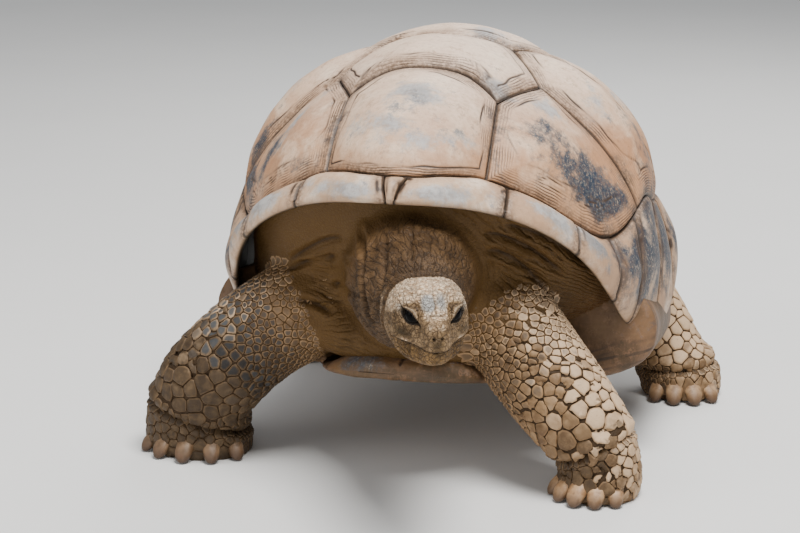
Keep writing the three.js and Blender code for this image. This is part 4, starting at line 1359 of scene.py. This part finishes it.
def make_claw(edge, direction, size, seed):
    """A blunt nail: its root is in the toe and its tip comes down towards the ground."""
    out, across = ground_axes(direction)

    def place(column, row):
        share = np.sin(row / NAIL_ROWS * np.pi / 2)
        turn = column / NAIL_COLUMNS * 2 * np.pi
        ends = (row == 0) | (row == NAIL_ROWS)
        round_tip = np.sqrt(1 - np.clip((share - 0.74) / 0.27, 0, 1) ** 2)
        girth = np.where(ends, 0, size * (1 - 0.24 * share ** 3) * round_tip)
        points = edge + out * (mix(-NAIL_SUNK, NAIL_REACH, share) * size)[:, None]
        grain = 1 + 0.03 * waves(np.stack([np.cos(turn), np.sin(turn), share * 0.3], -1), 0.8, seed)
        wide = np.sign(np.cos(turn)) * np.abs(np.cos(turn)) ** 0.85
        points = points + across * (girth * grain * NAIL_HALF * wide)[:, None]
        middle = size * mix(NAIL_ROOT, NAIL_TIP, share ** 1.4)
        points[:, 2] = np.maximum(0, middle + 0.5 * girth * grain * NAIL_THICK * np.sin(turn))
        return points

    piece, _, row = moulded("claw", NAIL_COLUMNS, NAIL_ROWS, place)
    set_value(piece, "tip", np.sin(row / NAIL_ROWS * np.pi / 2))
    return piece


def make_claws(name):
    made = [make_claw(*spot, seed=i) for i, spot in enumerate(claw_places(name))]
    claws = join(made, f"claws_{name}")
    set_value(claws, "dark", np.full(len(claws.data.vertices), NAIL_SHADE[name]))
    return claws


# ---------------------------------------------------------------- scales

SCALE_SIDES = 14
SCALE_COUNT = 11000  # places tried on each leg
SCALE_RISE = 0.12  # height of a scale as a share of its size
NEIGHBOURS = 18  # how many of the nearest scales can stop a scale from reaching further
# Rings of a scale from under its edge to its middle: share of its reach, share of its height.
SCALE_RINGS = ((1.0, -0.5), (1.0, 0.2), (0.94, 0.62), (0.8, 0.9), (0.5, 1.0))
SCALE_GAP = 1.4 * MM
SCALE_PULL = 0.42  # how much more ground a large scale holds than a small one
# The map OFBake: where each leg's scales start on it, the breadth of a leg there, and half that of a scale.
MAP_CORNERS = {
    "foreleg_left": (0.02, 0.02), "foreleg_right": (0.52, 0.02),
    "hindleg_left": (0.02, 0.52), "hindleg_right": (0.52, 0.52),
}
MAP_LEG, MAP_SCALE = 0.46, 0.0015


def snap(tree, points):
    """The nearest places on the skin, its direction there, and how far off each was."""
    found = [tree.find_nearest(Vector(point)) for point in points]
    at = np.array([place for place, _, _, _ in found])
    return at, np.array([normal for _, normal, _, _ in found]), np.array([gap for _, _, _, gap in found])


def sow(length, tree, size_at, seed):
    """Evenly crowded places for scales on a length of flesh, each with its size."""
    draw = np.random.default_rng(seed)
    turn, share = draw.uniform(0, 2 * np.pi, SCALE_COUNT), draw.uniform(0.09, 0.99, SCALE_COUNT)
    at, out, gap = snap(tree, length.point(turn, share))
    along = length.axes(share)[1]
    size = size_at(at, out, share) * draw.uniform(0.86, 1.16, SCALE_COUNT)
    outwards = (out * unit(at - length.axes(share)[0][:, :3])).sum(axis=-1)
    # on the skin, facing out where the leg leaves the body, off the ground, and not under a claw
    keep = (gap < 13 * MM) & ((outwards > 0.6) | (share > 0.3)) & (at[:, 2] > 5 * MM) & (size > 4 * MM)
    at, out, along, size = at[keep], out[keep], along[keep], size[keep]
    turn, share = turn[keep], share[keep]

    chosen = []
    taken, sizes = np.empty((0, 3)), np.empty(0)
    for i in range(len(at)):
        apart = np.linalg.norm(taken - at[i], axis=1)
        if len(chosen) == 0 or (apart / (size[i] + sizes)).min() > 0.4:
            chosen.append(i)
            taken, sizes = np.vstack([taken, at[i]]), np.append(sizes, size[i])
    chosen = np.array(chosen)
    for _ in range(5):  # moves each scale to the middle of the ground it holds
        power = ((at[:, None] - at[chosen][None]) ** 2).sum(axis=-1) - (SCALE_PULL * size[chosen]) ** 2
        holder = power.argmin(axis=1)
        for n in range(len(chosen)):
            mine = np.nonzero(holder == n)[0]
            if len(mine):
                middle = at[mine].mean(axis=0)
                chosen[n] = mine[np.linalg.norm(at[mine] - middle, axis=1).argmin()]
    return at[chosen], out[chosen], along[chosen], size[chosen], turn[chosen], share[chosen]


def rim_reach(at, out, down, aside, size, rays):
    """How far each scale reaches along each ray before it meets its neighbours."""
    towards = at[None] - at[:, None]
    apart = np.linalg.norm(towards, axis=-1)
    near = np.argsort(apart, axis=1)[:, 1:NEIGHBOURS + 1]
    step = np.take_along_axis(towards, near[:, :, None], axis=1)
    flat = np.stack([(step * down[:, None]).sum(-1), (step * aside[:, None]).sum(-1)], axis=-1)
    reach = np.linalg.norm(flat, axis=-1)
    gap = np.take_along_axis(apart, near, axis=1)
    limit = gap / 2 + SCALE_PULL ** 2 * (size[:, None] ** 2 - size[near] ** 2) / (2 * gap)
    bend = (out[:, None] * out[near]).sum(axis=-1).clip(0, 1)
    limit = np.maximum(limit * np.sqrt(2 / (1 + bend)), 0.2 * size[:, None])
    facing = np.maximum(0, np.einsum("nkc,ac->nka", flat / reach[:, :, None], rays))
    edge = (((facing / limit[:, :, None]) ** 30).sum(axis=1) + 1e-30) ** (-1 / 30)
    return np.minimum(edge, 2.2 * size[:, None]) - SCALE_GAP * 0.5


def scale_faces():
    """The faces of one scale: its rings from the root up, a fan over its middle and a fan under its root."""
    faces = []
    rings = len(SCALE_RINGS)
    last = (rings - 1) * SCALE_SIDES
    top, bottom = rings * SCALE_SIDES, rings * SCALE_SIDES + 1
    for ring in range(rings - 1):
        for n in range(SCALE_SIDES):
            a, b = ring * SCALE_SIDES + n, ring * SCALE_SIDES + (n + 1) % SCALE_SIDES
            faces.append((a, b, b + SCALE_SIDES, a + SCALE_SIDES))
    for n in range(SCALE_SIDES):
        faces.append((last + n, last + (n + 1) % SCALE_SIDES, top))
        faces.append(((n + 1) % SCALE_SIDES, n, bottom))
    return faces


def make_scales(name, length, tree, size_at, look_at, seed):
    """A leg's coat of scales, each a low dome that lies on the skin and slopes up towards the foot."""
    at, out, along, size, turn, share = sow(length, tree, size_at, seed)
    draw = np.random.default_rng(seed + 1)
    down = unit(along - out * (along * out).sum(axis=-1, keepdims=True))
    aside = np.cross(out, down)
    angles = np.arange(SCALE_SIDES) / SCALE_SIDES * 2 * np.pi
    rays = np.stack([np.cos(angles), np.sin(angles)], axis=-1)
    edge = rim_reach(at, out, down, aside, size, rays)
    edge *= 1 + 0.02 * draw.normal(size=edge.shape).clip(-1, 1)

    fade = smoothstep(0.09, 0.2, share)
    height = (SCALE_RISE * size + 0.8 * MM) * fade
    sunk = (1 - fade) * 1.6 * MM
    tone = draw.uniform(0, 1, len(at))
    points, edges, tones, sizes, uv = [], [], [], [], []
    root = np.array(MAP_CORNERS[name]) + MAP_LEG * np.stack([turn / (2 * np.pi), share], axis=-1)
    for ring_share, ring_height in (*SCALE_RINGS, (0.0, 1.0), (0.0, -0.5)):
        sides = SCALE_SIDES if ring_share else 1
        spread = edge[:, :sides] * ring_share
        offset = rays[:sides, 0, None] * down[:, None] + rays[:sides, 1, None] * aside[:, None]
        offset = spread[..., None] * offset
        base, face, _ = snap(tree, (at[:, None] + offset).reshape(-1, 3))
        tilt = 1 + 0.3 * ring_share * rays[None, :sides, 0] if ring_height > 0 else np.ones((1, sides))
        lifted = np.repeat(height, sides) * ring_height * np.broadcast_to(tilt, (len(at), sides)).ravel()
        if ring_height < 0:
            lifted = np.full(len(base), -1.3 * MM)
        lifted = lifted - np.repeat(sunk, sides)
        outwards = unit(0.5 * face + 0.5 * np.repeat(out, sides, axis=0))
        base = base + outwards * lifted[:, None]
        base[:, 2] = np.maximum(base[:, 2], 0.3 * MM)
        points.append(base.reshape(len(at), sides, 3))
        edges.append(np.full((len(at), sides), ring_share))
        tones.append(np.repeat(tone[:, None], sides, axis=1))
        sizes.append(np.repeat(size[:, None], sides, axis=1))
        uv.append(root[:, None] + MAP_SCALE * ring_share * rays[None, :sides])
    joined = [np.concatenate(part, axis=1) for part in (points, edges, tones, sizes, uv)]
    points, edges, tones, sizes, uv = joined

    faces = scale_faces()
    step = points.shape[1]
    every = [tuple(v + scale * step for v in face) for scale in range(len(at)) for face in faces]
    mesh = bpy.data.meshes.new(f"scales_{name}")
    mesh.from_pydata(points.reshape(-1, 3).tolist(), [], every)
    piece = bpy.data.objects.new(f"scales_{name}", mesh)
    bpy.context.collection.objects.link(piece)
    face_out(piece)
    set_values(piece, {"edge": edges.ravel(), "tone": tones.ravel(), "size": sizes.ravel() / (30 * MM)})
    set_values(piece, {value: np.repeat(found, step) for value, found in look_at(at, out, share).items()})
    corners = np.empty(len(mesh.loops), np.int64)
    mesh.loops.foreach_get("vertex_index", corners)
    layer = mesh.uv_layers.new(name="OFBake")
    layer.data.foreach_set("uv", uv.reshape(-1, 2)[corners].astype(np.float32).ravel())
    shade_smooth(piece)
    return piece


def clear_of_claws(name, at):
    """0 under a claw, 1 away from it, and up to 2 where a toe has its large scale."""
    free = np.ones(len(at))
    for edge, direction, size in claw_places(name):
        out, _ = ground_axes(direction)
        root = edge - out * 4 * MM * size + np.array([0, 0, 18 * MM * size])
        toe = edge - out * 13 * MM * size + np.array([0, 0, 50 * MM * size])
        free = free + hill(np.linalg.norm(at - toe, axis=1), 9 * MM * size)
        free = free * (np.linalg.norm(at - root, axis=1) > 21 * MM * size)
    return free


def leg_size(name, side):
    """How large a leg's scales grow: small at the shoulder and the ankle, large down the front."""
    fore = name.startswith("fore")
    front = unit(np.array([side * 0.45, -1.0, 0.15]) if fore else np.array([side * 0.8, -0.6, 0.0]))
    small, large = (9.0, 25.0) if fore else (10.0, 20.0)

    def size_at(at, out, share):
        size = mix(small, large, smoothstep(0.26, 0.6, share)) * mix(0.62, 1, smoothstep(0.08, 0.24, share))
        size = size * mix(0.6, 1.3, smoothstep(-0.3, 0.85, out @ front))
        above = ankle_gap(name, at)
        size = size * (1 - 0.55 * hill(above, 12.0))
        size = size * (1 - 0.35 * smoothstep(0, -8, above))
        draw = np.random.default_rng(len(at))
        uneven = draw.choice([0.68, 0.88, 1.02, 1.2], len(at), p=[0.25, 0.2, 0.3, 0.25])
        size = size * mix(1, uneven, smoothstep(0.4, 0.6, share))
        free = clear_of_claws(name, at)
        return (size * np.minimum(free, 1) + 9 * np.maximum(free - 1, 0)) * MM

    return size_at


def leg_look(name, side):
    """Where a leg's scales have dark centres, where light is painted on them on the sides that face out and
    up, and where shade is painted on them.
    """
    fore = name.startswith("fore")

    def look_at(at, out, share):
        outer = out[:, 0] * side
        up = out[:, 2]
        slate = hill(share - 0.34, 0.13) * smoothstep(0.75, 0.2, outer - 0.3 * up)
        slate = slate * (0.9 if side < 0 else 0.35) * (1 if fore else 0.4)
        if side > 0:
            # on the left legs, painted light: the scales paler where they face out and up
            pale = 0.9 * smoothstep(-0.25, 0.8, outer + 0.5 * up)
            pale = pale * mix(1.0, 0.5, smoothstep(0.5, 0.85, share))
            # painted shade: darker scales on the inner side of the lower leg
            dim = 0.85 * smoothstep(0.4, 0.72, share) * smoothstep(0.9, -0.1, outer)
        else:
            # on the right legs, painted light: a little paler where the scales face out and up
            pale = 0.25 * smoothstep(-0.1, 0.7, outer + 0.5 * up) * smoothstep(0.75, 0.4, share)
            pale = pale + 0.25 * hill(share - 0.34, 0.1) * smoothstep(0.1, 0.6, up)
            # painted shade: the right legs darker below the shoulder
            dim = 0.95 * smoothstep(0.15, 0.4, share)
        dim = dim * (1 if fore else 0.35)
        pale = pale * smoothstep(0.08, 0.22, share)
        return {"slate": slate, "pale": pale, "dim": dim * np.ones(len(at))}

    return look_at


def make_coat(skin):
    tree = BVHTree.FromObject(skin, bpy.context.evaluated_depsgraph_get())
    coat = []
    for i, (name, length) in enumerate(LEG_SHAPES.items()):
        side = 1 if name.endswith("left") else -1
        size_at, look_at = leg_size(name, side), leg_look(name, side)
        coat.append(make_scales(name, length, tree, size_at, look_at, seed=500 + 7 * i))
    return coat


# ---------------------------------------------------------------- materials

class Socket:
    """An output in a material's tree. Arithmetic on it adds Math nodes."""

    def __init__(self, tree, output):
        self.tree = tree
        self.output = output

    def node(self, kind, inputs, result=0, **settings):
        made = self.tree.nodes.new("ShaderNode" + kind)
        for name, value in settings.items():
            setattr(made, name, value)
        for key, value in inputs.items():
            if isinstance(value, Socket):
                self.tree.links.new(value.output, made.inputs[key])
            else:
                made.inputs[key].default_value = value
        return Socket(self.tree, made.outputs[result])

    def math(self, operation, *others, **settings):
        return self.node("Math", dict(enumerate((self, *others))), operation=operation, **settings)

    def __add__(self, other):
        return self.math("ADD", other)

    def __mul__(self, other):
        return self.math("MULTIPLY", other)

    def __truediv__(self, other):
        return self.math("DIVIDE", other)

    def __sub__(self, other):
        return self.math("SUBTRACT", other)

    def __rsub__(self, other):
        return self * -1.0 + other

    __radd__ = __add__
    __rmul__ = __mul__

    def step(self, low, high):
        """0 below low and 1 above high, or the other way round if low is the greater."""
        inputs = {"Value": self, "From Min": low, "From Max": high}
        return self.node("MapRange", inputs, interpolation_type="SMOOTHSTEP")

    def at_most(self, other):
        return self.math("MINIMUM", other)

    def at_least(self, other):
        return self.math("MAXIMUM", other)

    def blend(self, below, above):
        """One colour where this is 0, another where it is 1."""
        return self.node("Mix", {0: self, 6: below, 7: above}, result=2, data_type="RGBA")

    def tint(self, low, high, below, above):
        """One colour where this is below low, another where it is above high."""
        return self.step(low, high).blend(shade(*below), shade(*above))

    def noise(self, scale, detail=3.0, rough=0.55, distortion=0.0):
        inputs = {"Vector": self, "Scale": scale, "Detail": detail, "Roughness": rough}
        inputs["Distortion"] = distortion
        return self.node("TexNoise", inputs)

    def cells(self, scale):
        """How far each place is from the edge of its cell."""
        inputs = {"Vector": self, "Scale": scale}
        return self.node("TexVoronoi", inputs, result="Distance", feature="DISTANCE_TO_EDGE")

    def stretched(self, scale):
        return self.node("Mapping", {"Vector": self, "Scale": scale})

    def shifted(self, distance):
        """This vector with the same distance added along each axis."""
        return self.node("VectorMath", {0: self, 1: distance}, operation="ADD")


def shade(red, green, blue):
    """A colour from 0 to 255 in each part, as the shader wants it."""
    linear = []
    for part in (red / 255, green / 255, blue / 255):
        linear.append(part / 12.92 if part < 0.04045 else ((part + 0.055) / 1.055) ** 2.4)
    return (*linear, 1.0)


def new_material(name, constants):
    """The material, the place in the model as a socket, and three functions: one that reads a value of the
    mesh, one that gives the shader a socket, and one that gives it bumps."""
    material = bpy.data.materials.new(name)
    material.use_nodes = True
    tree = material.node_tree
    shader = tree.nodes["Principled BSDF"]
    for socket_name, constant in constants.items():
        shader.inputs[socket_name].default_value = constant
    place = Socket(tree, tree.nodes.new("ShaderNodeTexCoord").outputs["Object"])

    def value(attribute):
        return place.node("Attribute", {}, result="Fac", attribute_name=attribute)

    def give(name, socket):
        tree.links.new(socket.output, shader.inputs[name])

    def bump(height, strength, distance):
        inputs = {"Height": height, "Strength": strength, "Distance": distance}
        give("Normal", place.node("Bump", inputs))

    return material, place, value, give, bump


def horn_material(name, tan, pale, stain):
    material, place, value, give, bump = new_material(name, {"Roughness": 0.5})
    away, inside, groove = value("away"), value("inside"), value("groove")
    slate, blue = value("slate"), value("blue")
    broad, patch, mottle = place.noise(5.0), place.noise(15.0, 5.0, 0.6, 0.4), place.noise(42.0, 5.0, 0.65)
    fine, speck = place.noise(300.0, 3.0), place.noise(190.0, 4.0, 0.7)
    colour = broad.tint(0.38, 0.62, tan, stain)
    colour = ((patch + 0.25 * mottle).step(0.55, 0.82) * 0.8).blend(colour, shade(*pale))
    height = place.node("SeparateXYZ", {0: place}, result="Z")
    # painted light: the plates paler towards the top, where the light falls on them
    top_light_and_pale_skin = (height + 0.16 * (patch - 0.5)).step(0.5, 0.68) * (1.0 - inside)
    colour = (top_light_and_pale_skin * 0.65).blend(colour, shade(232, 210, 188))
    colour = ((mottle + 0.4 * fine).step(0.72, 0.9) * 0.45).blend(colour, shade(150, 110, 78))
    wide = away.step(0.75, 0.1) * patch.step(0.35, 0.6)
    colour = (wide * 0.45).blend(colour, shade(158, 116, 82))
    greyed = (blue + 1.5 * (mottle - 0.5) + 0.9 * (patch - 0.5) + 0.4 * (speck - 0.5)).step(0.25, 0.85)
    grey = mottle.tint(0.4, 0.62, (122, 130, 134), (166, 168, 168))
    colour = (greyed * 0.8).blend(colour, grey)
    dark = (slate + 1.1 * (speck - 0.5) + 1.7 * (mottle - 0.5) + 0.9 * (patch - 0.5)).step(0.2, 0.86)
    speckled = speck.tint(0.42, 0.7, (28, 42, 58), (96, 98, 96))
    colour = (dark * speck.step(0.74, 0.56)).blend(colour, speckled)
    scratch = place.stretched((1.0, 1.0, 0.14)).noise(170.0, 4.0, 0.7)
    colour = (scratch.step(0.6, 0.7) * slate.step(0.1, 0.5) * 0.55).blend(colour, shade(196, 180, 156))
    fibres = place.stretched((1.0, 1.0, 0.12)).noise(130.0, 4.0, 0.7).step(0.46, 0.7)
    grain = place.stretched((0.16, 1.0, 1.0)).noise(120.0, 4.0, 0.7).step(0.48, 0.72)
    colour = (fibres.at_least(grain) * (1.0 - inside) * 0.3).blend(colour, shade(128, 92, 62))
    beside = away.step(0.4, 0.12) * patch.step(0.3, 0.6)
    colour = (beside * speck.step(0.3, 0.6).at_least(fibres) * 0.8).blend(colour, shade(96, 72, 50))
    colour = (groove * 1.5).at_most(1.0).blend(colour, shade(58, 40, 26))
    colour = (away.step(0.075, 0.02) * 0.85).blend(colour, shade(46, 32, 20))
    colour = (speck.step(0.62, 0.74) * 0.35).blend(colour, shade(84, 62, 42))
    # painted shade: the plates' undersides and the rim's inner face coloured dark
    colour = inside.blend(colour, shade(46, 36, 16))
    give("Base Color", colour)
    give("Roughness", 0.46 + 0.22 * fine)
    bump(fine * 0.5 + mottle * 0.6 + speck * 0.4, 0.6, 0.0014)
    return material


def skin_material():
    constants = {"Roughness": 0.6, "Specular IOR Level": 0.2}
    material, place, value, give, bump = new_material("skin", constants)
    crease, pale, lid, face = value("crease"), value("pale"), value("lid"), value("face")
    loose, fan = value("net") * (1.0 - face), value("fan") * (1.0 - face)
    mouth, horn, nostril, rim = value("mouth"), value("horn"), value("nostril"), value("rim")
    blue, ochre, jaw, front_shade = value("blue"), value("ochre"), value("jaw"), value("shade")
    broad, mottle, fine = place.noise(9.0), place.noise(34.0, 4.0), place.noise(170.0, 4.0, 0.6)
    grain = place.cells(170.0)
    across, wobble = value("across"), place.noise(46.0, 3.0)
    flow = place.node("CombineXYZ", {0: across / 0.012, 1: value("along") / 0.02})
    flow = flow.shifted(wobble * 1.1)
    coarse, thin = flow.cells(1.0), flow.cells(2.3)
    ripple = (across / 0.0095 + wobble * 1.3).math("PINGPONG", 0.5) * 2.0
    broken = mottle.step(0.4, 0.62)
    lines = (coarse.step(0.06, 0.01) * 0.9).at_least(thin.step(0.07, 0.0) * broken * 0.6) * loose
    lines = lines.at_least(ripple.step(0.2, 0.02) * broken * fan * 0.4)

    colour = broad.tint(0.36, 0.64, (90, 62, 32), (120, 88, 54))
    colour = (mottle.step(0.45, 0.7) * 0.45).blend(colour, shade(140, 108, 72))
    # painted shade: the skin at the front, under the shell's front edge, coloured darker
    colour = (front_shade * (1.0 - loose) * 0.8).blend(colour, shade(76, 54, 20))
    brown = mottle.tint(0.35, 0.65, (56, 40, 22), (88, 66, 42))
    colour = (loose * 0.85).blend(colour, brown)
    # painted shade: the skin between the legs' scales coloured dark
    colour = (value("coat") * 0.85).blend(colour, shade(48, 34, 18))
    plain = mottle.tint(0.3, 0.65, (100, 78, 50), (156, 128, 94))
    colour = face.blend(colour, plain)
    yellow = mottle.tint(0.35, 0.6, (84, 60, 24), (128, 96, 52))
    colour = (jaw.at_least(ochre) * 0.75).blend(colour, yellow)
    soft = (pale + 0.5 * (mottle - 0.5)).step(0.2, 0.8)
    top_light_and_pale_skin = fine.tint(0.35, 0.6, (200, 164, 126), (232, 206, 174))
    colour = (soft * 0.9).blend(colour, top_light_and_pale_skin)
    colour = ((blue + 0.8 * (mottle - 0.5)).step(0.15, 0.6) * 0.75).blend(colour, shade(136, 148, 152))
    sheath = mottle.tint(0.35, 0.6, (36, 30, 12), (80, 60, 26))
    colour = (horn * 0.9).blend(colour, sheath)
    shields = place.shifted(wobble * 0.002).cells(120.0)
    colour = (shields.step(0.09, 0.015) * face * (0.62 - 0.3 * soft)).blend(colour, shade(56, 40, 24))
    net = grain.step(0.1, 0.02) * (1.0 - horn)
    colour = (net * (0.3 + 0.3 * face)).blend(colour, shade(66, 46, 28))
    # dark lines between the neck's skin plates, and painted shade in the chest's folds
    colour = (lines * 0.8).blend(colour, shade(40, 28, 16))
    # painted shade in the skin's creases, folds and grooves
    colour = (crease * 0.85).blend(colour, shade(42, 29, 16))
    colour = (rim * 0.35).blend(colour, shade(196, 172, 142))
    # painted shade: the eyes' openings, the nostrils and the mouth's line coloured near black
    dark = lid.at_least(nostril).at_least(mouth * 0.8)
    colour = (dark * 0.95).blend(colour, shade(22, 16, 11))
    give("Base Color", colour)
    give("Roughness", 0.52 + 0.2 * fine - 0.12 * horn)
    folds = coarse.step(0.0, 0.14) * loose * 2.0 + thin.step(0.0, 0.1) * loose * 0.5
    folds = folds + ripple.step(0.0, 0.6) * fan * 1.4
    folds = folds + shields.step(0.0, 0.16) * face * 1.2
    bump(grain.step(0.0, 0.3) * 0.3 + fine * 0.3 + folds, 0.7, 0.002)
    return material


def scale_material():
    constants = {"Roughness": 0.55, "Specular IOR Level": 0.3}
    material, place, value, give, bump = new_material("scales", constants)
    edge, tone, size = value("edge"), value("tone"), value("size")
    slate, pale = value("slate"), value("pale")
    broad, mid, fine = place.noise(8.0), place.noise(75.0, 4.0, 0.6), place.noise(300.0, 4.0)
    colour = (tone * 0.6 + broad * 0.5).tint(0.25, 0.8, (104, 78, 50), (140, 110, 76))
    colour = (mid.step(0.42, 0.7) * 0.6).blend(colour, shade(158, 128, 94))
    # painted shade: darker scales where the leg is turned from the light
    dim = value("dim")
    brown = mid.tint(0.35, 0.65, (28, 20, 9), (56, 42, 22))
    colour = (dim * 0.85).blend(colour, brown)
    # painted light: paler scales on the sides that face the light
    lit_side = (pale + 0.5 * (tone - 0.5) + 0.5 * (mid - 0.5)).step(0.2, 0.8)
    colour = (lit_side * 0.8).blend(colour, shade(204, 174, 140))
    core = edge.step(0.86, 0.5)
    centre = (slate + 0.35 * (tone - 0.5) + 0.3 * (mid - 0.5)).step(0.3, 0.6)
    black = (tone * 0.6 + mid * 0.5).tint(0.3, 0.8, (9, 11, 14), (40, 44, 48))
    colour = (centre * core * 0.85).blend(colour, black)
    # painted light: the dark centres greyed on the lit side
    colour = (centre * core * pale * 0.9).blend(colour, shade(88, 92, 94))
    small = size.step(0.48, 0.34)
    colour = (small * core * 0.7).blend(colour, shade(58, 46, 34))
    # the scales' pale rims, fainter where shade is painted
    colour = (edge.step(0.8, 0.96) * (0.5 - 0.3 * dim)).blend(colour, shade(156, 124, 88))
    colour = (edge.step(0.97, 1.0) * 0.9).blend(colour, shade(46, 31, 18))
    colour = (fine.step(0.58, 0.75) * 0.4).blend(colour, shade(66, 48, 30))
    give("Base Color", colour)
    give("Roughness", 0.46 + 0.2 * fine + 0.1 * mid)
    bump(fine * 0.5 + mid * 0.9, 0.5, 0.0016)
    return material


def claw_material():
    material, place, value, give, bump = new_material("claws", {"Roughness": 0.45})
    streaks = place.stretched((1.0, 1.0, 0.25)).noise(150.0, 4.0)
    height = place.node("SeparateXYZ", {0: place}, result="Z")
    mottle, tip, dark = place.noise(60.0, 4.0), value("tip"), value("dark")
    colour = mottle.tint(0.35, 0.65, (146, 110, 74), (190, 156, 118))
    # painted shade: the claws of the shaded legs coloured darker
    shaded_claw = mottle.tint(0.35, 0.65, (70, 52, 34), (104, 80, 56))
    colour = (dark * 0.8).blend(colour, shaded_claw)
    colour = (tip.step(0.6, 0.25) * 0.6).blend(colour, shade(84, 62, 40))
    colour = (tip.step(0.7, 0.95) * mottle.step(0.4, 0.6) * 0.7).blend(colour, shade(92, 60, 34))
    colour = (streaks.step(0.55, 0.7) * 0.45).blend(colour, shade(92, 68, 46))
    # painted shade: the claws darker towards the ground
    colour = ((height + 0.016 * mottle).step(0.036, 0.012) * 0.9).blend(colour, shade(62, 40, 20))
    give("Base Color", colour)
    give("Roughness", 0.4 + 0.25 * streaks)
    bump(streaks + mottle * 0.5, 0.4, 0.0012)
    return material


def eye_material():
    constants = {"Roughness": 0.12, "Coat Weight": 0.05, "Specular IOR Level": 0.03}
    material, place, value, give, _ = new_material("eye", constants)
    around_pupil = value("round")
    iris = place.noise(400.0, 4.0).tint(0.4, 0.6, (18, 13, 9), (9, 7, 5))
    colour = around_pupil.step(0.17, 0.14).blend(iris, shade(5, 4, 4))
    colour = around_pupil.step(0.3, 0.34).blend(colour, shade(14, 12, 10))
    give("Base Color", colour)
    return material


def floor_material():
    material, place, _, give, _ = new_material("floor", {"Roughness": 0.8})
    give("Base Color", place.noise(2.0).blend(shade(222, 220, 216), shade(228, 226, 222)))
    return material


# ---------------------------------------------------------------- the whole

def put_on(piece, material, slot, *nodes):
    """Gives a piece its material, hangs it under the root and hides the solids that it stands for."""
    piece.data.materials.clear()
    piece.data.materials.append(material)
    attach(piece, "root")
    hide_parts(*nodes)


def node_name(piece):
    return piece.name.removesuffix("_shape")


FLESH = ["trunk", "neck", "tail", "head", "lower_jaw", *LEGS]

plate_look = horn_material("plates", (190, 146, 108), (216, 182, 150), (176, 128, 90))
rim_look = horn_material("rim", (190, 158, 128), (228, 208, 186), (172, 136, 104))
under_look = horn_material("underplate", (82, 58, 26), (108, 80, 44), (64, 46, 20))
skin_look = skin_material()

for plate in make_carapace():
    name = node_name(plate)
    on_rim = name.startswith("marginal") or name in ("nuchal", "supracaudal")
    put_on(plate, rim_look if on_rim else plate_look, "rim" if on_rim else "plate", name)

put_on(make_plastron(), under_look, "plastron", "plastron")
skin = make_skin()
put_on(skin, skin_look, "skin", *FLESH)
eye_look = eye_material()
for word, side in (("left", 1), ("right", -1)):
    put_on(make_eye(side), eye_look, "eye", f"eye_{word}")
claw_look = claw_material()
for name in LEGS:
    put_on(make_claws(name), claw_look, "skin")
scale_look = scale_material()
for scales in make_coat(skin):
    put_on(scales, scale_look, "skin")
thin_out(skin, ~near_face(places(skin)), FINISHED_KEPT)
set_places(skin, places(skin).clip([-np.inf, -np.inf, 0], np.inf))


# ---------------------------------------------------------------- stage

def add_light(name, place, target, size, power):
    data = bpy.data.lights.new(name, "AREA")
    data.size, data.energy = size, power
    lamp = bpy.data.objects.new(name, data)
    bpy.context.collection.objects.link(lamp)
    lamp.location = place
    lamp.rotation_euler = (Vector(target) - Vector(place)).to_track_quat("-Z", "Y").to_euler()


# Lamps: where each is, where it points, its size in m and its power in W.
LAMPS = {
    "key": ((1.0, -1.3, 4.6), (0.0, 0.0, 0.35), 2.0, 375),
    "fill": ((-3.2, -2.8, 2.0), (0.0, 0.0, 0.3), 3.0, 50),
    "back": ((0.5, 3.4, 3.2), (0.0, 0.0, 0.4), 2.4, 90),
    "low": ((0.5, -4.4, 0.7), (0.0, -0.3, 0.3), 1.6, 34),
}
FLOOR_SIZE = 60
SKY_COLOUR, SKY_STRENGTH = (0.9, 0.94, 1.0, 1), 0.42
CAMERA_AT = (0.77466, -3.63044, 1.250)
CAMERA_TILT, CAMERA_TURN = math.radians(75.7), math.radians(13)
LENS, SENSOR_WIDTH = 99, 36  # in mm

deselect_all()
bpy.ops.mesh.primitive_plane_add(size=FLOOR_SIZE)
floor = bpy.context.object
floor.name = "floor"
floor.data.materials.append(floor_material())

for name, lamp in LAMPS.items():
    add_light(name, *lamp)
world = bpy.data.worlds.new("studio")
bpy.context.scene.world = world
world.use_nodes = True
sky = world.node_tree.nodes["Background"]
sky.inputs["Color"].default_value = SKY_COLOUR
sky.inputs["Strength"].default_value = SKY_STRENGTH

camera_data = bpy.data.cameras.new("camera")
camera_data.lens, camera_data.sensor_width = LENS, SENSOR_WIDTH
camera = bpy.data.objects.new("camera", camera_data)
bpy.context.collection.objects.link(camera)
camera.location = CAMERA_AT
camera.rotation_euler = (CAMERA_TILT, 0, CAMERA_TURN)
bpy.context.scene.camera = camera
